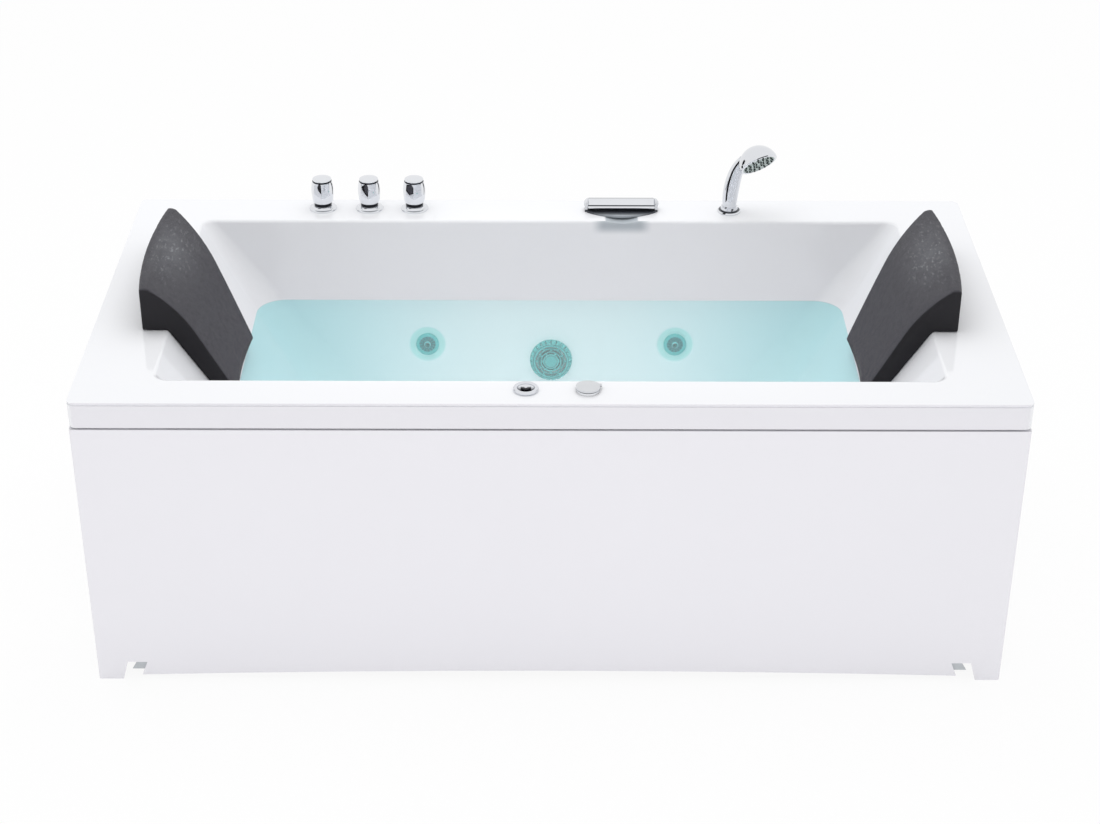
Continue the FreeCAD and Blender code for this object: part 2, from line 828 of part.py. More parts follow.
# ---------------------------------------------------------------- taps
def make_knob():
    """Eight-sided barrel with a round flat top, bored for its spindle."""
    def ring_at(radius, z):
        turn = math.pi / 2
        points = [
            Vector(radius * math.cos(turn + 2 * math.pi * k / knob_sides),
                   radius * math.sin(turn + 2 * math.pi * k / knob_sides), z)
            for k in range(knob_sides)
        ]
        return Part.makePolygon(points + points[:1])

    levels = [
        (knob_foot_radius, 0.0), (knob_belly_radius, 0.35), (knob_belly_radius, 0.62), (knob_top_radius, 1.0),
    ]
    barrel = Part.makeLoft([ring_at(r, share * knob_height) for r, share in levels], True, False)
    envelope = turned([
        (0, 0), (knob_foot_radius - 1, 0), (knob_belly_radius + 1, 3), (knob_belly_radius + 1, knob_height - 8),
        (knob_top_radius - 1.5, knob_height - 0.5), (knob_top_radius - 2, knob_height), (0, knob_height),
    ])
    bore = rod(spindle_radius, Vector(0, 0, -1), Vector(0, 0, spindle_head))
    return barrel.common(envelope).cut(bore)


def valve_outline():
    """Valve body turned about the tap's axis, with Z measured from the floor."""
    foot = deck_under - valve_body_drop - valve_body_height
    return [
        (0, foot), (valve_body_radius - 2, foot), (valve_body_radius, foot + 2),
        (valve_body_radius, foot + valve_body_height), (valve_shank_radius, foot + valve_body_height),
        (valve_shank_radius, deck_height), (0, deck_height),
    ]


def make_taps():
    """Hot and cold taps and the diverter: flanges, knobs, spindles, valves and link pipes."""
    flange = turned([
        (spindle_radius + running_gap, 0), (tap_flange_radius, 0), (tap_flange_radius, 1.5),
        ((tap_flange_radius - 1.0, 2.8), (tap_flange_radius - 3.0, 3.2)),
        ((tap_neck_radius + 4.5, 4.0), (tap_neck_radius + 2.0, tap_flange_height)),
        (tap_neck_radius, tap_flange_height), (tap_neck_radius, tap_flange_height + tap_neck_height),
        (spindle_radius + running_gap, tap_flange_height + tap_neck_height),
    ])
    places = {"hot": hot_place, "cold": cold_place, "diverter": diverter_place}
    spots = [Vector(x, tap_line, deck_height) for x in places.values()]
    write("tap_flanges", Part.makeCompound([placed(flange, spot) for spot in spots]))
    knob = make_knob()
    spindle_top = tap_head + knob_gap + spindle_head
    spindle_foot = spindle_top - spindle_length
    for name, x in places.items():
        write(name + "_knob", placed(knob, Vector(x, tap_line, tap_head + knob_gap)))
        write(name + "_spindle", rod(spindle_radius, Vector(x, tap_line, spindle_foot),
                                     Vector(x, tap_line, spindle_top)))

    link_level = deck_under - link_pipe_drop
    foot = deck_under - valve_body_drop - valve_body_height
    valve = turned(valve_outline())
    spindle_well = rod(spindle_radius + running_gap, Vector(0, 0, spindle_foot - 1),
                       Vector(0, 0, deck_height + 1))
    corner = Vector(0, -supply_arm_reach, foot + supply_arm_rise)
    arm_start = Vector(0, 0, corner.z)
    tail_top = corner - Z_WAY * supply_arm_rise
    tail_foot = tail_top - Z_WAY * supply_tail_length
    arm = [
        rod(supply_tail_radius, arm_start, corner - Y_WAY * elbow_overlap),
        rod(supply_tail_radius, tail_foot, corner + Z_WAY * elbow_overlap),
        rod(supply_shoulder_radius, tail_top, tail_top + Z_WAY * supply_shoulder_length),
        Part.makeSphere(supply_elbow_radius, corner),
    ]
    arm_bores = [
        rod(supply_bore_radius, arm_start, corner),
        rod(supply_bore_radius - past, tail_foot - Z_WAY * past, corner),
    ]
    supply_valve = joined([valve] + arm).cut([spindle_well] + arm_bores)
    valves = [placed(supply_valve, Vector(x, tap_line, 0)) for x in (hot_place, cold_place)]
    write("supply_valves", Part.makeCompound(valves))
    outlet_end = Vector(0, -outlet_arm_reach, link_level)
    outlet = rod(supply_tail_radius, outlet_end, Vector(0, 0, link_level))
    outlet_bore = rod(supply_bore_radius, outlet_end - Y_WAY * past, Vector(0, 0, link_level))
    diverter = joined([valve, outlet]).cut([spindle_well, outlet_bore])
    write("diverter_valve", placed(diverter, Vector(diverter_place, tap_line, 0)))

    runs = [
        (hot_place + valve_body_radius, cold_place - valve_body_radius),
        (cold_place + valve_body_radius, diverter_place - valve_body_radius),
        (diverter_place + valve_body_radius, spout_place - spout_tail_radius),
    ]
    write("link_pipes", Part.makeCompound([
        tube(link_pipe_radius, link_pipe_radius - link_pipe_wall,
             Vector(x0, tap_line, link_level), Vector(x1, tap_line, link_level))
        for x0, x1 in runs
    ]))


def fastened_spots():
    """Place and tail radius of every fitting that a lock nut holds under the deck."""
    spots = [(x, tap_line, valve_shank_radius) for x in (hot_place, cold_place, diverter_place)]
    spots.append((spout_place, tap_line, spout_tail_radius))
    spots.append((shower_place, shower_foot.y, holder_tail_radius))
    spots.append((button_place.x, button_place.y, button_tail_radius))
    spots.append((air_place.x, air_place.y, air_tail_radius))
    return spots


def make_deck_fixings():
    """Rubber rings and lock nuts under the deck."""
    seals = []
    nuts = []
    for x, y, radius in fastened_spots():
        seal_foot = deck_under - seal_thickness
        seals.append(tube(radius * nut_across, radius, Vector(x, y, seal_foot), Vector(x, y, deck_under)))
        nut = hexagon(radius * nut_across, seal_foot - nut_height, seal_foot)
        nut = nut.cut(rod(radius, Vector(0, 0, deck_under - 100), Vector(0, 0, deck_under)))
        nuts.append(placed(nut, Vector(x, y, 0)))
    write("deck_seals", Part.makeCompound(seals))
    write("deck_nuts", Part.makeCompound(nuts))


# ---------------------------------------------------------------- waterfall spout
def make_spout():
    """Spout tray with round cheeks and a threaded tail, and the bar that roofs its mouth."""
    half = spout_bar_length / 2
    bar_back = spout_bar_front + spout_bar_depth
    tray_top = deck_height + spout_tray_thickness
    bar_foot = tray_top + spout_mouth
    bar_top = bar_foot + spout_bar_height
    x0 = spout_place - half
    x1 = spout_place + half
    cheek_middle = spout_bar_front + spout_bar_depth / 2
    cheek_level = bar_foot + spout_bar_height / 2
    tray = extruded_up([
        (x0 - 2, bar_back), (x0 - 2, spout_bar_front + 4),
        ((spout_place, spout_tray_front), (x1 + 2, spout_bar_front + 4)),
        (x1 + 2, bar_back),
    ], deck_height, tray_top)
    cheek = turned([(0, 0), (spout_cheek_radius, 0), dome_step(spout_cheek_radius, 0, spout_cheek)])
    cheeks = []
    for x, way in ((x0, -1), (x1, 1)):
        end = placed(cheek, Vector(x, cheek_middle, cheek_level), Vector(way, 0, 0))
        foot = block(min(x, x + way * spout_cheek * 0.75), max(x, x + way * spout_cheek * 0.75),
                     cheek_middle - spout_cheek_radius * 0.8, cheek_middle + spout_cheek_radius * 0.8,
                     deck_height, cheek_level)
        cheeks += [end.common(block(x - 50, x + 50, 0, half_width, deck_height, 2 * deck_height)), foot]
    back = block(x0, x1, bar_back - 8, bar_back, deck_height, bar_foot)
    tail_foot = deck_height - spout_tail_length
    tail = rod(spout_tail_radius, Vector(spout_place, tap_line, tail_foot),
               Vector(spout_place, tap_line, tray_top))
    body = joined([tray, back, tail] + cheeks)
    bore = rod(spout_bore_radius, Vector(spout_place, tap_line, tail_foot + 6),
               Vector(spout_place, tap_line, tray_top + 1))
    side_port = rod(link_pipe_radius - link_pipe_wall,
                    Vector(spout_place - 2 * spout_tail_radius, tap_line, deck_under - link_pipe_drop),
                    Vector(spout_place, tap_line, deck_under - link_pipe_drop))
    write("spout_body", body.cut([bore, side_port]))

    bar = extruded_along_x([
        (spout_bar_front + 0.5, bar_foot), (bar_back, bar_foot), (bar_back, bar_top - 4),
        ((bar_back - 9, bar_top), (spout_bar_front + 4, bar_foot + spout_lip_height + 3.5)),
        (spout_bar_front + 1, bar_foot + spout_lip_height), (spout_bar_front, bar_foot + spout_lip_height - 1),
    ], x0, x1)
    write("spout_bar", bar)


# ---------------------------------------------------------------- hand shower
def make_shower():
    """Deck holder, hand shower standing in it and the spray plate with its nozzles."""
    holder = turned([
        (holder_bore_radius, -holder_tail_length), (holder_tail_radius, -holder_tail_length),
        (holder_tail_radius, 0), (holder_flange_radius, 0), (holder_flange_radius, 2),
        (holder_flange_radius - 2, 4), (holder_hub_radius + 1, 4.5), (holder_hub_radius, holder_height),
        (holder_bore_radius, holder_height),
    ])
    write("shower_holder", placed(holder, shower_foot))

    seat = deck_height + holder_height
    sections = [
        Part.Wire([Part.makeCircle(radius, shower_foot + step, way)])
        for step, way, radius in shower_handle_steps
    ]
    handle = Part.makeLoft(sections, True, False)
    plug = rod(shower_plug_radius, Vector(shower_place, shower_foot.y, seat - shower_plug_depth),
               Vector(shower_place, shower_foot.y, seat + 2))
    back_way = shower_spray_way * -1
    dome = turned([
        (0, 0), (shower_head_radius - shower_rim_round, 0), (shower_head_radius, shower_rim_round),
        (shower_head_radius, shower_rim_height),
        dome_step(shower_head_radius, shower_rim_height, shower_head_depth),
    ])
    recess = rod(spray_plate_radius + running_gap, Vector(0, 0, -1), Vector(0, 0, spray_plate_depth))
    head = placed(dome, shower_head_centre, back_way)
    whole = joined([handle, plug, head]).cut(placed(recess, shower_head_centre, back_way))
    write("hand_shower", whole)

    plate = rod(spray_plate_radius, Vector(0, 0, 0.8), Vector(0, 0, spray_plate_depth))
    nozzles = []
    for radius, count in zip(spray_ring_radii, spray_ring_counts):
        for k in range(count):
            turn = 2 * math.pi * k / count
            spot = Vector(radius * math.cos(turn), radius * math.sin(turn), 1.5)
            nozzles.append(rod(spray_nozzle_radius, spot - Z_WAY * spray_nozzle_height, spot))
    plate = joined([plate] + nozzles)
    write("spray_plate", placed(plate, shower_head_centre, back_way))


# ---------------------------------------------------------------- controls on the front deck
def make_air_button():
    """Pneumatic start button: ring, sprung button and the bellows under it."""
    foot = button_place + Z_WAY * deck_height
    well = button_radius + running_gap
    dish = 2.5
    ring = turned([
        (well, -button_tail_length), (button_tail_radius, -button_tail_length), (button_tail_radius, 0),
        (button_bezel_radius - 1, 0),
        ((button_bezel_radius, 3.2), (button_dish_radius + 2.5, button_bezel_height)),
        ((button_dish_radius, button_bezel_height - 1), (button_dish_radius - 1.5, dish + 1)),
        (well + 1.5, dish), (well, dish),
    ])
    write("button_ring", placed(ring, foot))
    button_top = button_bezel_height - 0.5
    stem_radius = button_radius * 0.5
    button = turned([
        (0, -button_tail_length + button_travel + 1), (stem_radius, -button_tail_length + button_travel + 1),
        (stem_radius, -8), (button_radius, -8), (button_radius, button_top - 1),
        (button_radius - 1, button_top), (0, button_top - 0.6),
    ])
    write("air_button", placed(button, foot))
    bellows = turned([
        (0, -button_tail_length - bellows_height), (4, -button_tail_length - bellows_height),
        (4, -button_tail_length - bellows_height + 10),
        (bellows_radius, -button_tail_length - bellows_height + 10),
        (bellows_radius, -button_tail_length), (0, -button_tail_length),
    ])
    write("air_bellows", placed(bellows, foot))


def make_air_control():
    """Air control: base with its tail down to the air line, and the turning cap."""
    foot = air_place + Z_WAY * deck_height
    base = turned([
        (air_stem_radius + running_gap, -20), (air_stem_radius + running_gap, air_base_height),
        (air_base_radius, air_base_height), (air_base_radius + 0.8, 0), (air_tail_radius, 0),
        (air_tail_radius, -air_tail_length), (air_pipe_radius - pipe_wall, -air_tail_length),
        (air_pipe_radius - pipe_wall, -20),
    ])
    write("air_control_base", placed(base, foot))
    cap_foot = air_base_height + knob_gap
    cap_top = cap_foot + air_cap_height
    cap = turned([
        (0, -18), (air_stem_radius, -18), (air_stem_radius, cap_foot), (air_cap_radius - 1.2, cap_foot),
        (air_cap_radius, cap_foot + 1.4), (air_cap_radius - 0.4, cap_top), (0, cap_top),
    ])
    fall = 1.8
    wedge = extruded_along_x([
        (6.0, cap_top), (air_cap_radius + 5, cap_top - fall), (air_cap_radius + 5, cap_top + 1),
        (6.0, cap_top + 1),
    ], -air_cap_radius - 5, air_cap_radius + 5)
    tab = block(air_cap_radius - 4, air_cap_radius + 2.5, 4, 10, cap_foot + 1, cap_top - 0.6)
    cap = joined([cap.cut(wedge), tab])
    write("air_control_cap", placed(cap, foot))


# ---------------------------------------------------------------- jets
def make_jets():
    """Four jets: housing through the wall, turning ring and swivelling nozzle ball."""
    throat = jet_throat_radius
    outer = throat + jet_tube_wall
    flat = -dimple_depth
    back = -jet_tube_length
    nut_front = flat - shell_wall
    housing = turned([
        (throat, flat - 1), (outer, flat - 1), (outer, nut_front), (jet_nut_radius, nut_front),
        (jet_nut_radius, nut_front - jet_nut_height), (outer, nut_front - jet_nut_height),
        (outer, back - 3), (0, back - 3), (0, back), (throat, back),
    ])
    housings = []
    for point, way in jet_spots():
        body = placed(housing, point, way)
        side = 1 if point.y > 0 else -1
        water = Vector(point.x, water_line(side), jet_height)
        air = Vector(point.x, air_line(side), jet_height)
        water_port = rod(riser_radius - pipe_wall, water - Z_WAY * 2 * jet_nut_radius, water)
        air_port = rod(air_pipe_radius - pipe_wall, air, air + Z_WAY * 2 * jet_nut_radius)
        housings.append(body.cut([water_port, air_port]))
    write("jet_housings", Part.makeCompound(housings))

    seat = jet_ball_radius + running_gap
    ball_middle = -jet_ball_depth
    lip = math.asin(jet_ball_depth / seat)
    halfway = (seat * math.cos(lip / 2), ball_middle + seat * math.sin(lip / 2))
    ring = turned([
        (seat, -3 * jet_ball_depth), (seat, ball_middle), (halfway, (seat * math.cos(lip), 0)),
        (jet_ring_radius - 4, jet_ring_rise), (jet_ring_radius, -1.5),
        (jet_ring_radius, flat + running_gap), (throat - running_gap, flat + running_gap),
        (throat - running_gap, -3 * jet_ball_depth),
    ])
    ball = Part.makeSphere(jet_ball_radius, Vector(0, 0, ball_middle))
    ball = ball.cut(rod(jet_bore_radius, Vector(0, 0, -40), Vector(0, 0, 40)))
    ball = ball.cut(block(-30, 30, -30, 30, -60, ball_middle - 0.75 * jet_ball_radius))
    names = ("back_left", "back_right", "front_left", "front_right")
    for name, (point, way) in zip(names, jet_spots()):
        write("jet_ring_" + name, placed(ring, point, way))
        write("jet_nozzle_" + name, placed(ball, point, way))


# ---------------------------------------------------------------- suction
def make_suction():
    """Suction housing behind the back wall and its domed, slotted cover."""
    radius = suction_cover_radius
    face = suction_face_radius
    top = suction_cover_height
    wall = suction_cover_wall
    cover = turned([
        (radius - wall, 0), (radius, 0), (radius, top - (radius - face)),
        ((radius - 0.3 * (radius - face), top - 0.3 * (radius - face)), (face, top)),
        (0, top), (0, top - wall), (face, top - wall), (radius - wall, top - (radius - face)),
    ])
    cutters = []
    for k in range(suction_slot_rings):
        inner = suction_hub_radius + suction_slot_pitch * (k + 0.6)
        ring = tube(inner + suction_slot_width, inner, Vector(0, 0, top - 2 * wall), Vector(0, 0, top + 1))
        bridges = []
        for n in range(suction_bridges):
            bar = block(-face, face, -suction_bridge_width / 2, suction_bridge_width / 2,
                        top - 3 * wall, top + 2)
            bar.rotate(Vector(0, 0, 0), Z_WAY, 180.0 * (n + 0.5 * (k % 2)) / suction_bridges)
            bridges.append(bar)
        cutters.append(ring.cut(bridges))
    for n in range(suction_rim_slots):
        slot = block(face + 2.5, radius + 1, -1.25, 1.25, 2.5, top + 1)
        slot.rotate(Vector(0, 0, 0), Z_WAY, 360.0 * n / suction_rim_slots)
        cutters.append(slot)
    cover = cover.cut(cutters)
    write("suction_cover", placed(cover, suction_point, wall_way(1)))

    throat = suction_throat_radius
    back = -shell_wall - suction_housing_length
    housing = turned([
        (throat - 3, 0), (throat, 0), (throat, -shell_wall), (suction_housing_radius, -shell_wall),
        (suction_housing_radius, back), (0, back), (0, back + 3), (throat - 3, back + 3),
    ])
    body = placed(housing, suction_point, wall_way(1))
    port_end = suction_pipe_line - 1.5 * suction_pipe_radius
    behind = suction_point + wall_way(1) * (back + 8)
    port = rod(suction_pipe_radius, Vector(suction_place, behind.y, suction_height),
               Vector(suction_place, port_end, suction_height))
    bore = rod(suction_pipe_radius - pipe_wall, Vector(suction_place, behind.y - 1, suction_height),
               Vector(suction_place, port_end + 1, suction_height))
    if port_end > behind.y + 1:
        body = joined([body, port])
    write("suction_housing", body.cut(bore))


# ---------------------------------------------------------------- waste and overflow
def make_waste():
    """Drain flange, pop-up plug, overflow knob and housing, and the waste pipes."""
    tube_inner = drain_tube_radius - drain_tube_wall
    flange = turned([
        (tube_inner, -drain_tube_length), (drain_tube_radius, -drain_tube_length), (drain_tube_radius, 0),
        (drain_flange_radius, 0), (drain_flange_radius, 1.2), (drain_recess_radius + 3, drain_flange_height),
        (drain_recess_radius, drain_flange_height), (drain_recess_radius, 1.2), (tube_inner, 1.2),
    ])
    hub_top = -drain_hub_drop
    hub_foot = hub_top - drain_hub_height
    stem_foot = hub_foot - plug_lift
    hub = tube(drain_hub_radius, plug_stem_radius + running_gap, Vector(0, 0, hub_foot), Vector(0, 0, hub_top))
    spokes = []
    for k in range(3):
        spoke = block(drain_hub_radius - 1, tube_inner + 1, -1.5, 1.5, hub_foot, hub_top)
        spoke.rotate(Vector(0, 0, 0), Z_WAY, 120.0 * k)
        spokes.append(spoke)
    write("drain_flange", placed(joined([flange, hub] + spokes), drain_point))
    plug = turned([
        (0, stem_foot), (plug_stem_radius, stem_foot), (plug_stem_radius, 1.2),
        (plug_radius, 1.2), (plug_radius, 3.0), dome_step(plug_radius, 3.0, 1.2 + plug_cap_height),
    ])
    write("drain_plug", placed(plug, drain_point))

    way = wall_way(-1)
    throat = overflow_throat_radius
    back = -shell_wall - overflow_housing_length
    spindle = spindle_radius
    body = turned([
        (throat - 3, 0), (throat, 0), (throat, -shell_wall), (overflow_housing_radius, -shell_wall),
        (overflow_housing_radius, back), (0, back), (0, back + 3), (throat - 3, back + 3),
    ])
    collar = turned([
        (spindle + running_gap, back + 3), (spindle + 4, back + 3), (spindle + 4, 0),
        (spindle + running_gap, 0),
    ])
    plate = turned([
        (throat - 3, 0), (overflow_cover_radius, 0), (overflow_cover_radius - 2, overflow_cover_height),
        (throat - 3, overflow_cover_height),
    ])
    body = placed(joined([body, collar, plate]), overflow_point, way)
    stub_top = Vector(0, overflow_pipe_line, overflow_height)
    stub_foot = stub_top - Z_WAY * 40
    stub = rod(overflow_pipe_radius, stub_foot, stub_top)
    stub = stub.cut(placed(rod(throat - 3, Vector(0, 0, back + 3), Vector(0, 0, 0)), overflow_point, way))
    stub_bore = rod(overflow_pipe_radius - pipe_wall, stub_foot - Z_WAY, stub_top - Z_WAY * pipe_wall)
    passage = rod(throat / 2, stub_top - Z_WAY * throat / 2,
                  stub_top - Z_WAY * throat / 2 + Y_WAY * overflow_pipe_radius * 1.5)
    write("overflow_housing", joined([body, stub]).cut([stub_bore, passage]))

    knob_foot = overflow_cover_height + 4.0
    knob_top = knob_foot + overflow_knob_height
    knob = turned([
        (0, back + 3 + knob_gap), (spindle, back + 3 + knob_gap), (spindle, knob_foot),
        (overflow_knob_radius - 3, knob_foot), (overflow_knob_radius, knob_foot + 4),
        ((overflow_knob_radius - 5, knob_top - 3), (overflow_knob_radius - 12, knob_top)), (0, knob_top),
    ])
    grips = []
    for k in range(knob_sides):
        grip = rod(7.0, Vector(overflow_knob_radius + 4.0, 0, knob_foot - 1),
                   Vector(overflow_knob_radius + 4.0, 0, knob_top + 1))
        grip.rotate(Vector(0, 0, 0), Z_WAY, 360.0 * k / knob_sides)
        grips.append(grip)
    write("overflow_knob", placed(knob.cut(grips), overflow_point, way))

    collar_radius = drain_tube_radius + 5
    sump = turned([
        (drain_tube_radius, drain_foot + sump_lap), (collar_radius, drain_foot + sump_lap),
        (collar_radius, drain_foot), (sump_radius, drain_foot), (sump_radius, sump_floor),
        (0, sump_floor), (0, sump_floor + sump_wall), (sump_radius - sump_wall, sump_floor + sump_wall),
        (sump_radius - sump_wall, drain_foot - sump_wall), (drain_tube_radius, drain_foot - sump_wall),
    ])
    sump = placed(sump, Vector(0, drain_line, 0))
    bore = waste_pipe_radius - waste_pipe_wall
    outlet_hole = rod(bore, Vector(0, drain_line + 20, waste_line_height),
                      Vector(0, drain_line + sump_radius + 1, waste_line_height))
    inlet_hole = rod(overflow_pipe_radius - pipe_wall, Vector(0, drain_line - sump_radius - 1, waste_line_height),
                     Vector(0, drain_line - 20, waste_line_height))
    outlet = tube(waste_pipe_radius, bore,
                  Vector(0, drain_line + math.sqrt(sump_radius ** 2 - waste_pipe_radius ** 2), waste_line_height),
                  Vector(0, half_width, waste_line_height))
    union_end = half_width - waste_tail_length
    union = tube(waste_union_radius, waste_pipe_radius, Vector(0, union_end - waste_union_length, waste_line_height),
                 Vector(0, union_end, waste_line_height))
    sump_space = rod(sump_radius, Vector(0, drain_line, 0), Vector(0, drain_line, 2 * waste_line_height))
    outlet = joined([outlet, union]).cut(sump_space)
    route = [
        Vector(0, overflow_pipe_line, overflow_height - 40),
        Vector(0, overflow_pipe_line, waste_line_height),
        Vector(0, drain_line - math.sqrt(sump_radius ** 2 - overflow_pipe_radius ** 2), waste_line_height),
    ]
    pipes = bent_pipe(route, overflow_pipe_radius)
    pipes = [p.cut(sump_space) for p in pipes]
    sump = sump.cut([outlet_hole, inlet_hole])
    write("waste_pipes", Part.makeCompound([sump, outlet] + pipes))


# ---------------------------------------------------------------- pipework
def bent_pipe(points, radius):
    """Straight tubes and quarter bends along a square-cornered route, as separate solids."""
    inner = radius - pipe_wall
    bend = 1.5 * radius
    solids = []
    start = points[0]
    for before, corner, after in zip(points, points[1:], points[2:]):
        way_in = (corner - before).normalize()
        way_out = (after - corner).normalize()
        bend_start = corner - way_in * bend
        bend_end = corner + way_out * bend
        if bend_start.distanceToPoint(start) > 0.01:
            solids.append(tube(radius, inner, start, bend_start))
        centre = corner - way_in * bend + way_out * bend
        axis = way_in.cross(way_out)
        ring = Part.Face([
            Part.Wire([Part.makeCircle(radius, bend_start, way_in)]),
            Part.Wire([Part.makeCircle(inner, bend_start, way_in)]),
        ])
        solids.append(ring.revolve(centre, axis, 90))
        start = bend_end
    solids.append(tube(radius, inner, start, points[-1]))
    return solids


def make_water_pipes():
    """Suction line to the pump, and the two pressure lines with a riser to each jet."""
    port_end = suction_pipe_line - 1.5 * suction_pipe_radius
    inlet_face = volute_front + volute_length + pump_inlet_length
    suction = [
        Vector(suction_place, port_end, suction_height),
        Vector(suction_place, suction_pipe_line, suction_height),
        Vector(suction_place, suction_pipe_line, pump_axis_height),
        Vector(pump_place, suction_pipe_line, pump_axis_height),
        Vector(pump_place, inlet_face, pump_axis_height),
    ]
    write("suction_pipe", Part.makeCompound(bent_pipe(suction, suction_pipe_radius)))

    tee = pressure_tee()
    solids = []
    for side in (1, -1):
        line = water_line(side)
        route = [
            Vector(tee.x, tee.y + side * tee_reach, tee.z),
            Vector(tee.x, line, tee.z),
            Vector(tee.x, line, water_pipe_height),
            Vector(min(jet_places) - 2 * riser_radius, line, water_pipe_height),
        ]
        run = bent_pipe(route, water_pipe_radius)
        main = run[-1]
        for x in jet_places:
            crown = water_pipe_height + water_pipe_radius - 1.5
            bore = rod(riser_radius - pipe_wall, Vector(x, line, water_pipe_height), Vector(x, line, crown + 5))
            main = main.cut(bore)
            riser = tube(riser_radius, riser_radius - pipe_wall, Vector(x, line, water_pipe_height),
                         Vector(x, line, jet_height))
            riser = riser.cut(rod(water_pipe_radius, Vector(x - 50, line, water_pipe_height),
                                  Vector(x + 50, line, water_pipe_height)))
            riser = riser.cut(jet_body_space(x, side))
            solids.append(max(riser.Solids, key=lambda s: s.Volume))
        solids += run[:-1] + [main]
    inner = water_pipe_radius - pipe_wall
    neck = tube(water_pipe_radius, inner, pump_outlet_face(), tee - Z_WAY * tee_reach)
    body = Part.makeSphere(water_pipe_radius + tee_wall, tee)
    branches = [rod(water_pipe_radius, tee - Y_WAY * tee_reach, tee + Y_WAY * tee_reach),
                rod(water_pipe_radius, tee - Z_WAY * tee_reach, tee)]
    hollow = [rod(inner, tee - Y_WAY * 2 * tee_reach, tee + Y_WAY * 2 * tee_reach),
              rod(inner - 1, tee - Z_WAY * 2 * tee_reach, tee)]
    solids += [neck, joined([body] + branches).cut(hollow)]
    write("water_pipes", Part.makeCompound(solids))


def jet_body_space(x, side):
    """Outside of a jet housing, to trim the pipes that end on it."""
    outer = jet_throat_radius + jet_tube_wall
    space = rod(outer, Vector(0, 0, -jet_tube_length - 3), Vector(0, 0, 0))
    return placed(space, wall_point(x, jet_height, side), wall_way(side))


def pressure_tee():
    """Middle of the tee above the pump's outlet."""
    offset = volute_radius - volute_wall - water_pipe_radius
    return Vector(pump_place - offset, volute_front + volute_length / 2,
                  pump_axis_height + volute_radius + 4 * water_pipe_radius)


def pump_outlet_face():
    """Middle of the pump outlet's upper end."""
    tee = pressure_tee()
    return Vector(tee.x, tee.y, pump_axis_height + volute_radius + pump_outlet_rise)


def make_air_pipes():
    """Air line from the control on the deck, round the left end, with a drop to each jet."""
    level = air_pipe_height
    front = air_line(-1)
    back = air_line(1)
    right = max(jet_places)
    main = bent_pipe([
        Vector(right + 2 * air_pipe_radius, front, level), Vector(air_pipe_end, front, level),
        Vector(air_pipe_end, back, level), Vector(right + 2 * air_pipe_radius, back, level),
    ], air_pipe_radius)
    solids = list(main)
    for side, line in ((-1, front), (1, back)):
        for x in jet_places:
            drop = tube(air_pipe_radius - 1, air_pipe_radius - pipe_wall, Vector(x, line, jet_height),
                        Vector(x, line, level))
            drop = drop.cut(rod(air_pipe_radius, Vector(x - 50, line, level), Vector(x + 50, line, level)))
            drop = drop.cut(jet_body_space(x, side))
            solids.append(max(drop.Solids, key=lambda s: s.Volume))
    feed = bent_pipe([
        Vector(air_place.x, air_place.y, deck_height - air_tail_length),
        Vector(air_place.x, air_place.y, level), Vector(air_place.x, front, level),
    ], air_pipe_radius)
    trim = rod(air_pipe_radius, Vector(air_place.x - 50, front, level), Vector(air_place.x + 50, front, level))
    feed[-1] = feed[-1].cut(trim)
    write("air_pipes", Part.makeCompound(solids + feed))


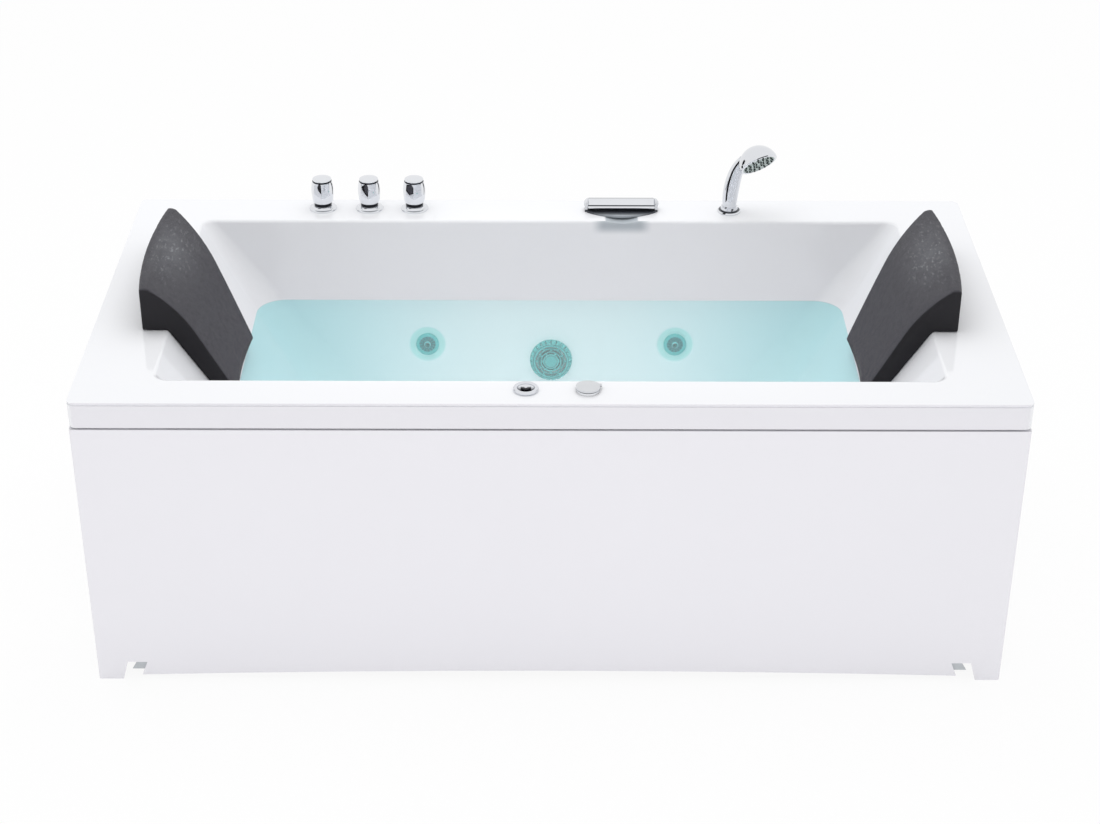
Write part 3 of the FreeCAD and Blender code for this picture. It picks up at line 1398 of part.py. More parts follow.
# ---------------------------------------------------------------- pump and control box
def make_pump():
    """Jet pump: motor, volute and impeller on its board, with the control box beside it."""
    board = block(pump_place - pump_board_half_width, pump_place + pump_board_half_width,
                  pump_board_front, pump_board_back, board_under, pump_board_top)
    write("pump_board", board)

    axis = Vector(pump_place, volute_front, pump_axis_height)
    ahead = FreeCAD.Placement(axis, Rotation(Z_WAY, Y_WAY))

    def along(shape):
        """Turn a shape built about +Z so that it lies along the pump's shaft."""
        copy = shape.copy()
        copy.Placement = ahead.multiply(copy.Placement)
        return copy

    shaft_bore = pump_shaft_radius + running_gap
    hollow = impeller_radius + 4
    case = turned([
        (shaft_bore, 0), (volute_radius - 6, 0), (volute_radius, 6), (volute_radius, volute_length - 10),
        (volute_radius - 10, volute_length), (suction_pipe_radius, volute_length),
        (suction_pipe_radius, volute_length + pump_inlet_length),
        (suction_pipe_radius - pipe_wall, volute_length + pump_inlet_length),
        (suction_pipe_radius - pipe_wall, volute_length - volute_wall), (hollow, volute_length - volute_wall),
        (hollow, volute_wall), (shaft_bore, volute_wall),
    ])
    case = along(case)
    tee = pressure_tee()
    outlet_foot = Vector(tee.x, tee.y, pump_axis_height)
    outlet = rod(water_pipe_radius + 3, outlet_foot, pump_outlet_face())
    outlet_bore = rod(water_pipe_radius - pipe_wall, outlet_foot + Z_WAY, pump_outlet_face() + Z_WAY)
    chamber = along(turned([
        (0, volute_wall), (hollow, volute_wall), (hollow, volute_length - volute_wall),
        (0, volute_length - volute_wall),
    ]))
    case = joined([case, outlet.cut(chamber)]).cut(outlet_bore)
    write("pump_volute", max(case.Solids, key=lambda s: s.Volume))

    gap = 3.0
    foot = volute_wall + gap
    disc = turned([
        (0, foot), (impeller_radius, foot), (impeller_radius, foot + impeller_disc),
        (16, foot + impeller_disc + 4), (12, foot + impeller_disc + impeller_blade_height * 0.8),
        (0, foot + impeller_disc + impeller_blade_height * 0.8),
    ])
    blades = []
    for k in range(impeller_blades):
        blade = block(11, impeller_radius - 1, -1.5, 1.5, foot + 1, foot + impeller_disc + impeller_blade_height)
        blade.rotate(Vector(14, 0, 0), Z_WAY, 24)
        blade = blade.common(rod(impeller_radius, Vector(0, 0, 0), Vector(0, 0, volute_length)))
        blade.rotate(Vector(0, 0, 0), Z_WAY, 360.0 * k / impeller_blades)
        blades.append(blade)
    shaft = rod(pump_shaft_radius, Vector(0, 0, -0.8 * motor_length), Vector(0, 0, foot + 1))
    write("pump_impeller", along(joined([disc, shaft] + blades)))

    steps = [(shaft_bore, 0), (motor_radius * 0.8, 0), (motor_radius * 0.8, -12), (motor_radius, -16)]
    fin_start = -30.0
    pitch = (motor_length - 75.0) / motor_fins
    for k in range(motor_fins):
        z = fin_start - k * pitch
        rim = motor_radius + motor_fin_height
        steps += [(motor_radius, z), (rim, z), (rim, z - motor_fin_width), (motor_radius, z - motor_fin_width)]
    steps += [
        (motor_radius, 40 - motor_length), (motor_radius + 4, 40 - motor_length),
        (motor_radius + 4, 8 - motor_length), (motor_radius - 6, -motor_length), (0, -motor_length),
        (0, -0.8 * motor_length - 1), (shaft_bore, -0.8 * motor_length - 1),
    ]
    motor = along(turned(steps))
    saddle = block(pump_place - 55, pump_place + 55, volute_front - 150, volute_front - 30,
                   pump_board_top, pump_axis_height - motor_radius * 0.6)
    bore = along(rod(motor_radius - 1, Vector(0, 0, -motor_length + 5), Vector(0, 0, -5)))
    saddle = saddle.cut(bore)
    terminal = block(pump_place - 30, pump_place + 30, volute_front - 130, volute_front - 50,
                     pump_axis_height + motor_radius - 8, pump_axis_height + motor_radius + 28)
    terminal = terminal.cut(bore)
    write("pump_motor", joined([motor, saddle, terminal]))

    box_back = volute_front - motor_length - 12
    box = block(pump_place - control_box_length / 2, pump_place + control_box_length / 2,
                box_back - control_box_depth, box_back, pump_board_top, pump_board_top + control_box_height)
    upright_edges = [e for e in box.Edges if e.BoundBox.ZLength > control_box_height - 1]
    write("control_box", box.makeFillet(6.0, upright_edges))


make_tub_shell()
make_support()
make_panels()
make_headrests()
make_taps()
make_deck_fixings()
make_spout()
make_shower()
make_air_button()
make_air_control()
make_jets()
make_suction()
make_waste()
make_water_pipes()
make_air_pipes()
make_pump()
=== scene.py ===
"""Looks of a jetted bathtub: finishes, filled water, soft headrests, studio and camera.

All lengths are metres in the tub's own frame: +X to the right of someone facing the front
panel, +Y towards the wall behind it, +Z up from the floor.
"""

import logging
import math
from dataclasses import dataclass, field, replace
from enum import Enum
from typing import Optional, Sequence

import bpy
import numpy as np
from mathutils import Matrix, Vector


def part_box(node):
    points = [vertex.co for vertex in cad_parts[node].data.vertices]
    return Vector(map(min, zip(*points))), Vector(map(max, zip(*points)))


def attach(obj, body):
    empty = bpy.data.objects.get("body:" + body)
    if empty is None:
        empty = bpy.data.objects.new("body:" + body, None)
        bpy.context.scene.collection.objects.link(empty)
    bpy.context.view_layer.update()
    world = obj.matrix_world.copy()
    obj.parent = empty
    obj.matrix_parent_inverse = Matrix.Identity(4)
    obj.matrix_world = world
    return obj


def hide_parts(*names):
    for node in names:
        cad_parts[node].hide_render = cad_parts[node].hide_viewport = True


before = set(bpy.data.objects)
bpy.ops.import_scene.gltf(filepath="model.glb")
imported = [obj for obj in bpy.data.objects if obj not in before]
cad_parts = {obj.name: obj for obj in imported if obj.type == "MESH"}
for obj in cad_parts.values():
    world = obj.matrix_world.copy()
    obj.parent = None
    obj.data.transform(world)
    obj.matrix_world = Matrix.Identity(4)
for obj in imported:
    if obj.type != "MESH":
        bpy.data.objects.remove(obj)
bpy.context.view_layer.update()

RGB = tuple[float, float, float]
Place = tuple[float, float, float]
Limits = tuple[float, float]
Axis = tuple[Place, Place]
Socket = bpy.types.NodeSocket
Tree = bpy.types.NodeTree
Object = bpy.types.Object
Material = bpy.types.Material
log = logging.getLogger("bathtub")

# ------------------------------------------------------------------ shared sizes
DECK_HEIGHT = 0.600
HALF_LENGTH = 0.850
HALF_WIDTH = 0.425
END_DECK = 0.140
FRONT_DECK = 0.087
BACK_DECK = 0.102
BASIN_DEPTH = 0.455
END_LEAN = math.radians(32.8)
SIDE_LEAN = math.radians(9.0)
RIM_CORNER = 0.025
FLOOR_CORNER = 0.110
WATER_LEVEL = 0.4315
SIDE_WAY = (math.cos(SIDE_LEAN), math.sin(SIDE_LEAN))
TAP_PLACES = {"hot": (-0.469, 0.384), "cold": (-0.373, 0.384), "diverter": (-0.280, 0.384)}
BUTTON_CENTRE = (-0.044, -0.374, 0.0)
SPRAY_CENTRE = (0.423, 0.340, 0.7185)
SPRAY_WAY = (-0.37, 0.64, 0.67)
UP = (0.0, 0.0, 1.0)
EVERYWHERE = (-10.0, 10.0)
WHITE = (1.0, 1.0, 1.0, 1.0)


def linear(red: int, green: int, blue: int) -> RGB:
    """Turn screen values from 0 to 255 into scene-linear light.

    The formula is the sRGB curve: ((c + 0.055) / 1.055) ** 2.4 above 0.04045.

    Args:
        red: Red screen value.
        green: Green screen value.
        blue: Blue screen value.

    Returns:
        The three linear values.
    """
    shares = np.array([red, green, blue]) / 255.0
    low = shares / 12.92
    high = ((shares + 0.055) / 1.055) ** 2.4
    return tuple(float(v) for v in np.where(shares > 0.04045, high, low))


# ------------------------------------------------------------------ node trees
def opaque(colour: object) -> object:
    """Give a colour of three numbers its fourth, and pass an output on as it is."""
    return colour if isinstance(colour, Socket) else (*colour, 1.0)


class Graph:
    """Shorthand for filling a shader node tree."""

    def __init__(self, tree: Tree) -> None:
        """Keep the tree that is filled."""
        self.tree = tree

    @classmethod
    def blank(cls, owner: bpy.types.ID) -> "Graph":
        """Switch on the nodes of a material or a world, empty its tree and return the graph."""
        owner.use_nodes = True
        owner.node_tree.nodes.clear()
        return cls(owner.node_tree)

    def link(self, source: Socket, target: Socket) -> None:
        """Lead an output into an input."""
        self.tree.links.new(source, target)

    def node(self, kind: str, inputs: Optional[dict] = None, **settings: object) -> bpy.types.Node:
        """Add one node.

        Args:
            kind: Name of the node type, without its first word ShaderNode.
            inputs: Socket name or number to a value, or to the output that feeds it.
            **settings: Attributes of the node.

        Returns:
            The new node.
        """
        made = self.tree.nodes.new("ShaderNode" + kind)
        for name, value in settings.items():
            setattr(made, name, value)
        for socket, value in (inputs or {}).items():
            if isinstance(value, Socket):
                self.link(value, made.inputs[socket])
            else:
                made.inputs[socket].default_value = value
        return made

    def group(self, tree: Tree, inputs: dict) -> bpy.types.bpy_prop_collection:
        """Add a node group, fill its inputs and return its outputs."""
        return self.node("Group", inputs, node_tree=tree).outputs

    def surface(self, shader: Socket, kind: str = "OutputMaterial") -> None:
        """Lead a shader into a new output node's surface."""
        self.node(kind, {"Surface": shader})

    def math(self, operation: str, first: object, second: object = 0.0,
             clamp: bool = False) -> Socket:
        """Add a Math node and return its result."""
        return self.node("Math", {0: first, 1: second}, operation=operation,
                         use_clamp=clamp).outputs[0]

    def product(self, *factors: object) -> Socket:
        """Multiply two or more values from left to right."""
        result = factors[0]
        for factor in factors[1:]:
            result = self.math("MULTIPLY", result, factor)
        return result

    def spread(self, value: object, low: float, high: float, to_low: float,
               to_high: float) -> Socket:
        """Map a value from one range to another with a smooth step and return it."""
        made = self.node("MapRange", {0: value, 1: low, 2: high, 3: to_low, 4: to_high},
                         interpolation_type="SMOOTHSTEP")
        return made.outputs[0]

    def mix(self, share: object, first: object, second: object, blend: str = "MIX") -> Socket:
        """Mix two colours.

        Args:
            share: Share of the second colour, a number or an output.
            first: First colour, three numbers or an output.
            second: Second colour, three numbers or an output.
            blend: Name of the blend type.

        Returns:
            The mixed colour's output.
        """
        made = self.node("Mix", {0: share, 6: opaque(first), 7: opaque(second)},
                         data_type="RGBA", blend_type=blend)
        return made.outputs[2]

    def noise(self, vector: object, size: float, detail: float = 3.0,
              rough: float = 0.5) -> Socket:
        """Add a Noise Texture whose lumps have a size in metres, and return its value."""
        return self.raw_noise(vector, 1.0 / size, detail, rough)

    def raw_noise(self, vector: object, scale: object, detail: float, rough: float) -> Socket:
        """Add a Noise Texture by its scale, a number or an output, and return its value."""
        made = self.node("TexNoise",
                         {"Vector": vector, "Scale": scale, "Detail": detail, "Roughness": rough})
        return made.outputs["Fac"]

    def vector(self, operation: str, inputs: dict, output: object = 0) -> Socket:
        """Add a Vector Math node and return one of its outputs."""
        return self.node("VectorMath", inputs, operation=operation).outputs[output]

    def axes(self, vector: object) -> bpy.types.bpy_prop_collection:
        """Split a vector into its three parts."""
        return self.node("SeparateXYZ", {0: vector}).outputs

    def from_axis(self, place: object, centre: Sequence[float], way: Sequence[float]) -> tuple:
        """Measure a point from an axis.

        The height is (place - centre) . way, and the radius is the length of what is left of
        place - centre once height * way is taken away.

        Args:
            place: Object coordinates.
            centre: A point on the axis in metres.
            way: The axis's direction, of length 1.

        Returns:
            The radius, the height and the vector from the axis, as outputs.
        """
        step = self.vector("SUBTRACT", {0: place, 1: tuple(centre)})
        height = self.vector("DOT_PRODUCT", {0: step, 1: tuple(way)}, "Value")
        along = self.vector("SCALE", {0: tuple(way), "Scale": height})
        out = self.vector("SUBTRACT", {0: step, 1: along})
        return self.vector("LENGTH", {0: out}, "Value"), height, out

    def band(self, value: object, low: float, high: float, soft: float) -> Socket:
        """1 where a value lies between two limits, fading to 0 over a soft width outside them."""
        return self.product(self.spread(value, low - soft, low, 0.0, 1.0),
                            self.spread(value, high, high + soft, 1.0, 0.0))


def new_group(name: str, inputs: dict[str, str], outputs: dict[str, str]) -> tuple[Graph, dict, dict]:
    """Start a shader node group.

    Args:
        name: The group's name.
        inputs: Input name to socket type.
        outputs: Output name to socket type.

    Returns:
        The group's graph, its input sockets by name and its output node's sockets by name.
    """
    tree = bpy.data.node_groups.new(name, "ShaderNodeTree")
    for label, kind in inputs.items():
        tree.interface.new_socket(label, in_out="INPUT", socket_type=kind)
    for label, kind in outputs.items():
        tree.interface.new_socket(label, in_out="OUTPUT", socket_type=kind)
    graph = Graph(tree)
    enter = tree.nodes.new("NodeGroupInput").outputs
    leave = tree.nodes.new("NodeGroupOutput").inputs
    return graph, {s.name: s for s in enter if s.name}, {s.name: s for s in leave if s.name}


FLOAT, COLOUR, VECTOR = "NodeSocketFloat", "NodeSocketColor", "NodeSocketVector"


def make_drift_group() -> Tree:
    """Group for what handling and light wear do to any finish.

    Broad noise lightens and darkens the colour, and finer noise smears the gloss.

    Returns:
        The node group.
    """
    graph, enter, leave = new_group(
        "surface_drift",
        {"Vector": VECTOR, "Colour": COLOUR, "Variation": FLOAT, "Patch Scale": FLOAT,
         "Roughness": FLOAT, "Smudge": FLOAT},
        {"Colour": COLOUR, "Roughness": FLOAT},
    )
    broad = graph.raw_noise(enter["Vector"], enter["Patch Scale"], 4.0, 0.55)
    swing = graph.product(graph.math("SUBTRACT", broad, 0.5), enter["Variation"])
    tone = graph.node("HueSaturation",
                      {"Value": graph.math("ADD", 1.0, swing), "Color": enter["Colour"]})
    graph.link(tone.outputs[0], leave["Colour"])
    fine = graph.raw_noise(enter["Vector"], graph.product(enter["Patch Scale"], 5.0), 5.0, 0.62)
    smear = graph.product(graph.spread(fine, 0.42, 0.72, 0.0, 1.0), enter["Smudge"])
    graph.link(graph.math("ADD", enter["Roughness"], smear, clamp=True), leave["Roughness"])
    return graph.tree


def make_depth_group() -> Tree:
    """Group that tints what lies under the water with the water's colour, and brightens it as painted light
    where a tint goes past 1.

    The tint goes from a pale one in the middle of the tub to a stronger one at its ends, by a
    smooth step of the distance along X, and counts only below the water level.

    Returns:
        The node group.
    """
    graph, enter, leave = new_group(
        "water_depth_tint",
        {"Vector": VECTOR, "Colour": COLOUR, "Middle Tint": COLOUR, "End Tint": COLOUR},
        {"Colour": COLOUR},
    )
    parts = graph.axes(enter["Vector"])
    wet = graph.spread(parts[2], WATER_LEVEL - 0.001, WATER_LEVEL + 0.0005, 1.0, 0.0)
    end = graph.spread(graph.math("ABSOLUTE", parts[0]), 0.05, 0.62, 0.0, 1.0)
    tint = graph.mix(end, enter["Middle Tint"], enter["End Tint"])
    graph.link(graph.mix(wet, enter["Colour"], tint, "MULTIPLY"), leave["Colour"])
    return graph.tree


def make_grain_group() -> Tree:
    """Group for skin grain: pebbles from cell edges, broken by noise, as a height.

    Returns:
        The node group.
    """
    graph, enter, leave = new_group(
        "skin_grain",
        {"Vector": VECTOR, "Pebble Scale": FLOAT, "Crease": FLOAT},
        {"Height": FLOAT},
    )
    cells = graph.node("TexVoronoi", {"Vector": enter["Vector"], "Scale": enter["Pebble Scale"]},
                       feature="DISTANCE_TO_EDGE").outputs["Distance"]
    pebble = graph.spread(cells, 0.0, 0.22, 0.0, 1.0)
    folds = graph.raw_noise(enter["Vector"], graph.product(enter["Pebble Scale"], 0.22), 6.0, 0.65)
    graph.link(graph.math("ADD", pebble, graph.product(folds, enter["Crease"])), leave["Height"])
    return graph.tree


class Effects:
    """The shared node groups, made once."""

    drift: Tree
    depth: Tree
    grain: Tree

    @classmethod
    def build(cls) -> None:
        """Make the three groups."""
        cls.drift = make_drift_group()
        cls.depth = make_depth_group()
        cls.grain = make_grain_group()


# ------------------------------------------------------------------ finishes
@dataclass(frozen=True)
class Finish:
    """A finish with gloss, drift and a fine relief.

    Attributes:
        name: Material name.
        colour: Linear base colour.
        roughness: Roughness of the clean surface.
        metallic: 1 for metal, 0 otherwise.
        ior: Index of refraction.
        variation: Share by which lightness drifts.
        patch: Size in metres of a drift patch.
        smudge: Roughness that smears add.
        relief_size: Size in metres of the relief's lumps.
        relief_height: Height in metres of the relief.
        specular: Level of the mirror-like part, 0.5 for a plain plastic.
        submerged: Whether the piece reaches under water and takes its tint there.
    """

    name: str
    colour: RGB
    roughness: float
    metallic: float = 0.0
    ior: float = 1.5
    variation: float = 0.03
    patch: float = 0.12
    smudge: float = 0.05
    relief_size: float = 0.004
    relief_height: float = 0.00002
    specular: float = 0.5
    submerged: bool = False

    def material(self) -> Material:
        """Build the material once and return it."""
        made = bpy.data.materials.get(self.name)
        if made:
            return made
        made = bpy.data.materials.new(self.name)
        graph = Graph.blank(made)
        place = graph.node("TexCoord").outputs["Object"]
        shader = graph.node("BsdfPrincipled", {"Metallic": self.metallic, "IOR": self.ior,
                                                         "Specular IOR Level": self.specular})
        self.feed(graph, place, shader)
        graph.surface(shader.outputs[0])
        return made

    def feed(self, graph: Graph, place: Socket, shader: bpy.types.Node) -> None:
        """Feed the shader's colour, roughness and normal.

        Args:
            graph: The material's graph.
            place: Object coordinates.
            shader: The Principled BSDF.
        """
        drift = graph.group(Effects.drift, {
            "Vector": place, "Colour": opaque(self.base(graph, place)), "Variation": self.variation,
            "Patch Scale": 1.0 / self.patch, "Roughness": self.roughness, "Smudge": self.smudge})
        tone = drift["Colour"]
        if self.submerged:
            middle, end = self.tints()
            tint = graph.group(Effects.depth, {"Vector": place, "Colour": tone,
                                               "Middle Tint": opaque(middle), "End Tint": opaque(end)})
            tone = self.neutral_when_reflected(graph, tint["Colour"], tone)
        graph.link(tone, shader.inputs["Base Color"])
        graph.link(drift["Roughness"], shader.inputs["Roughness"])
        relief = graph.node("Bump", {"Height": self.height(graph, place), "Strength": 1.0,
                                               "Distance": self.relief_height})
        graph.link(relief.outputs[0], shader.inputs["Normal"])

    def neutral_when_reflected(self, graph: Graph, seen: Socket, plain: object) -> object:
        """Keep a colour for what is looked at, and give another to the light that it passes on.

        Args:
            graph: The material's graph.
            seen: Colour to see.
            plain: Colour for rays that bounced off another surface.

        Returns:
            The colour's output.
        """
        path = graph.node("LightPath").outputs
        bounced = graph.math("MAXIMUM", path["Is Diffuse Ray"], path["Is Glossy Ray"])
        return graph.mix(bounced, seen, plain)

    def base(self, graph: Graph, place: Socket) -> object:
        """Colour before drift: here the plain one."""
        return self.colour

    def tints(self) -> tuple[RGB, RGB]:
        """Colours that multiply the finish under water, in the middle of the tub and at its ends.

        The pale ones go past 1, because the water passes on light that the walls' own shading lacks.
        """
        if self.metallic:
            return linear(120, 208, 208), linear(110, 200, 205)
        return (0.90, 1.06, 1.05), (0.66, 0.96, 0.97)

    def height(self, graph: Graph, place: Socket) -> Socket:
        """Relief from 0 to 1: here soft noise."""
        return graph.noise(place, self.relief_size, 2.0)


@dataclass(frozen=True)
class SkinnedFoam(Finish):
    """Self-skinned foam: flanks darkened as painted shade, a greyer resting face, and a patch high on it that
    is lighter from wear and painted sheen.

    Attributes:
        pebble: Size in metres of the skin's pebbles.
        flank_shade: Linear colour of the flanks, darkened as painted shade.
        worn_and_sheen: Linear colour of the patch, lighter from wear and painted sheen.
        crease: Linear colour of the creases in it.
    """

    pebble: float = 0.0012
    flank_shade: RGB = (0.0, 0.0, 0.0)
    worn_and_sheen: RGB = (0.0, 0.0, 0.0)
    crease: RGB = linear(142, 144, 148)

    def base(self, graph: Graph, place: Socket) -> object:
        """Mix three tones by the pad's own "face" and "patch" attributes, broken by noise: painted shade on
        the flanks, wear and painted sheen in the patch.
        """
        face = graph.node("Attribute", attribute_name="face").outputs["Fac"]
        patch = graph.node("Attribute", attribute_name="patch").outputs["Fac"]
        cloud = graph.spread(graph.noise(place, 0.035, 5.0, 0.65), 0.34, 0.66, 0.55, 1.0)
        # The patch is lighter from wear and painted sheen, only where the skin looks up.
        resting = graph.mix(graph.product(patch, cloud), self.colour, self.worn_and_sheen)
        lines = graph.spread(self.creases(graph, place), 0.56, 0.66, 0.0, 0.75)
        rubbed = graph.mix(graph.product(lines, patch), resting, self.crease)
        # Painted shade: skin that looks sideways or down takes the darker flank tone.
        return graph.mix(face, self.flank_shade, rubbed)

    def creases(self, graph: Graph, place: Socket) -> Socket:
        """Fine crossing creases: noise drawn out along the pad."""
        drawn = graph.node("Mapping", {"Vector": place, "Scale": (1.0, 0.35, 0.8),
                                                 "Rotation": (0.3, 0.2, 0.5)}).outputs[0]
        return graph.noise(drawn, 0.0050, 4.0, 0.65)

    def height(self, graph: Graph, place: Socket) -> Socket:
        """Pebbles and folds of the skin, with the creases."""
        grain = graph.group(Effects.grain, {"Vector": place, "Pebble Scale": 1.0 / self.pebble,
                                            "Crease": 0.8})
        return graph.math("ADD", grain["Height"], self.creases(graph, place))


@dataclass(frozen=True)
class PressedBoard(Finish):
    """Chipboard: flakes from a dark brown to the plain one."""

    flake: float = 0.006

    def base(self, graph: Graph, place: Socket) -> object:
        """Flakes coloured cell by cell."""
        cells = graph.node("TexVoronoi", {"Vector": place, "Scale": 1.0 / self.flake,
                                                    "Randomness": 1.0}).outputs["Color"]
        tone = graph.node("SeparateColor", {0: cells}).outputs[0]
        dark = tuple(c * 0.6 for c in self.colour)
        return graph.mix(tone, dark, self.colour)


@dataclass(frozen=True)
class DrawnPipe(Finish):
    """Extruded plastic pipe with a chalky bloom."""

    chalk: RGB = (0.85, 0.85, 0.84)

    def base(self, graph: Graph, place: Socket) -> object:
        """Bloom in soft clouds."""
        bloom = graph.spread(graph.noise(place, 0.03, 5.0, 0.7), 0.4, 0.7, 0.0, 0.5)
        return graph.mix(bloom, self.colour, self.chalk)


@dataclass(frozen=True)
class StillWater(Finish):
    """Bath water as a clear, tinted sheet, stronger in colour towards the ends of the tub.

    Attributes:
        clearness: Share of what lies below that shows through.
        deep: Linear colour at the ends.
        plain: Linear colour for light that bounced off another surface.
    """

    clearness: float = 0.80
    deep: RGB = linear(158, 232, 238)
    plain: RGB = (0.86, 0.88, 0.90)

    def material(self) -> Material:
        """Build the material once and return it."""
        made = super().material()
        shader = next(n for n in made.node_tree.nodes if n.type == "BSDF_PRINCIPLED")
        shader.inputs["Alpha"].default_value = 1.0 - self.clearness
        return made

    def base(self, graph: Graph, place: Socket) -> object:
        """Pale in the middle, teal at both ends."""
        end = graph.spread(graph.math("ABSOLUTE", graph.axes(place)[0]), 0.10, 0.62, 0.0, 1.0)
        teal = graph.mix(end, self.colour, self.deep)
        return self.neutral_when_reflected(graph, teal, self.plain)


@dataclass(frozen=True)
class Zone:
    """A tone between limits of the distance from an axis and of the place along it."""

    colour: RGB
    radii: Limits = EVERYWHERE
    heights: Limits = EVERYWHERE


@dataclass(frozen=True)
class AxisFinish(Finish):
    """A finish that is laid out round an axis.

    Attributes:
        centre: A point on the axis.
        way: The axis's direction.
        soft: Width over which a tone fades.
    """

    centre: Place = (0.0, 0.0, 0.0)
    way: Place = UP
    soft: float = 0.0004


@dataclass(frozen=True)
class Zoned(AxisFinish):
    """A finish with other tones in zones.

    Attributes:
        zones: The zones, laid one over the other.
        front: Y limits between which the zones fade out towards +Y.
    """

    zones: tuple[Zone, ...] = ()
    front: Limits = (9.0, 10.0)

    def base(self, graph: Graph, place: Socket) -> object:
        """Lay the zones over the plain colour one by one."""
        radius, height, _ = graph.from_axis(place, self.centre, self.way)
        near = graph.spread(graph.axes(place)[1], *self.front, 1.0, 0.0)
        tone = self.colour
        for zone in self.zones:
            share = graph.product(graph.band(radius, *zone.radii, self.soft),
                                  graph.band(height, *zone.heights, self.soft), near)
            tone = graph.mix(share, tone, zone.colour)
        return tone


@dataclass(frozen=True)
class Plated(Zoned):
    """Bright plating with zones."""

    metallic: float = 1.0
    variation: float = 0.04
    patch: float = 0.03


@dataclass(frozen=True)
class SpoutPlating(Finish):
    """Spout plating whose tray is in the bar's shade and pales towards its front edge.

    Attributes:
        shade: Linear colour of the tray at the back.
        lit: Linear colour of the tray at its front edge.
        shade_line: Y from which the tray is dark.
        lit_line: Y up to which it is pale.
        tray_top: Height below which the spout counts as the tray.
    """

    shade: RGB = (0.0, 0.0, 0.0)
    lit: RGB = (0.0, 0.0, 0.0)
    shade_line: float = 0.361
    lit_line: float = 0.328
    tray_top: float = DECK_HEIGHT + 0.0046

    def base(self, graph: Graph, place: Socket) -> object:
        """Shade the tray by a smooth step along Y, and leave the cheeks plain."""
        parts = graph.axes(place)
        dark = graph.spread(parts[1], self.lit_line, self.shade_line, 0.0, 1.0)
        tray = graph.mix(dark, self.lit, self.shade)
        low = graph.spread(parts[2], self.tray_top, self.tray_top + 0.0005, 1.0, 0.0)
        return graph.mix(low, self.colour, tray)


@dataclass(frozen=True)
class TubAcrylic(Finish):
    """Tub acrylic: its fascia in the deck's shade, painted shade in the deck's dip under the spout, and
    painted shade in the dimple round each jet.

    Attributes:
        fascia: Linear colour of the near fascia.
        dimple_shade: Linear colour of the painted shade round the jets.
        dimple_reach: Distance from a jet's axis that the painted shade covers.
        chute_shade: Linear colour of the painted shade in the deck's dip under the spout.
        chute_ends: X limits of that dip.
        chute_ends_soft: Width over which the dip's painted shade fades along X.
        chute_rise: Depths below the deck between which the dip's painted shade sets in from below.
        chute_lip: Depths below the deck between which it ends at the top.
        chute_mouth: Y limits between which it sets in from the basin's side.
        jets: Centre and direction of each jet's axis.
    """

    fascia: RGB = (0.0, 0.0, 0.0)
    dimple_shade: RGB = (0.0, 0.0, 0.0)
    dimple_reach: float = 0.034
    chute_shade: RGB = (0.0, 0.0, 0.0)
    chute_ends: tuple[float, float] = (0.112, 0.182)
    chute_ends_soft: float = 0.03
    chute_rise: Limits = (0.030, 0.010)
    chute_lip: Limits = (0.0012, 0.0002)
    chute_mouth: Limits = (0.300, 0.312)
    jets: tuple[Axis, ...] = ()

    def base(self, graph: Graph, place: Socket) -> object:
        """Mix in the fascia's shade by Y, the painted shade of the dip by all three, and the painted shade of
        each dimple round its axis.
        """
        parts = graph.axes(place)
        front = graph.spread(parts[1], -HALF_WIDTH + 0.0002, -HALF_WIDTH + 0.003, 1.0, 0.0)
        tone = graph.mix(front, self.colour, self.fascia)
        depth = graph.math("SUBTRACT", DECK_HEIGHT, parts[2])
        # Painted shade in the deck's dip under the spout.
        chute_shade = graph.product(graph.band(parts[0], *self.chute_ends, self.chute_ends_soft),
                              graph.spread(depth, *reversed(self.chute_rise), 1.0, 0.0),
                              graph.spread(depth, *reversed(self.chute_lip), 0.0, 1.0),
                              graph.spread(parts[1], *self.chute_mouth, 0.0, 1.0))
        tone = graph.mix(chute_shade, tone, self.chute_shade)
        for centre, way in self.jets:
            radius, height, _ = graph.from_axis(place, centre, way)
            share = graph.product(graph.band(radius, 0.0, self.dimple_reach, 0.006),
                                  graph.band(height, -0.02, 0.02, 0.005))
            # Painted shade in the dimple round each jet.
            tone = graph.mix(share, tone, self.dimple_shade)
        return tone


@dataclass(frozen=True)
class JetFinish(AxisFinish):
    """A jet's plating, with painted shade in the funnel, painted light on its fins and a painted highlight on
    the rim round its bore.

    Attributes:
        dark: Linear colour of the painted shade between the fins.
        funnel: Radii between which the painted shade and the fins lie.
        fins: Number of fins.
        fin_light: Linear colour of the fins, as painted light.
        rim_highlight: Linear colour of the painted highlight on the bore's rim.
        rim_radii: Inner and outer radius of that rim.
    """

    dark: RGB = (0.0, 0.0, 0.0)
    funnel: Limits = (0.0, 0.0165)
    fins: int = 14
    fin_light: RGB = (0.0, 0.0, 0.0)
    rim_highlight: RGB = (0.0, 0.0, 0.0)
    rim_radii: Limits = (0.0042, 0.0066)

    def base(self, graph: Graph, place: Socket) -> object:
        """Fins are a sine of the angle round the axis, kept inside the funnel."""
        radius, _, out = graph.from_axis(place, self.centre, self.way)
        parts = graph.axes(out)
        angle = graph.math("ARCTAN2", parts[0], parts[2])
        wave = graph.math("SINE", graph.product(angle, float(self.fins)))
        outside = graph.spread(radius, self.rim_radii[1], self.rim_radii[1] + 0.004, 0.0, 1.0)
        # Painted light on the fins, painted shade between them, and a painted highlight on the bore's rim.
        fin_light = graph.product(graph.spread(wave, 0.1, 0.9, 0.0, 1.0), outside)
        finned = graph.mix(fin_light, self.dark, self.fin_light)
        rimmed = graph.mix(graph.band(radius, *self.rim_radii, self.soft), finned, self.rim_highlight)
        return graph.mix(graph.band(radius, *self.funnel, self.soft), self.colour, rimmed)


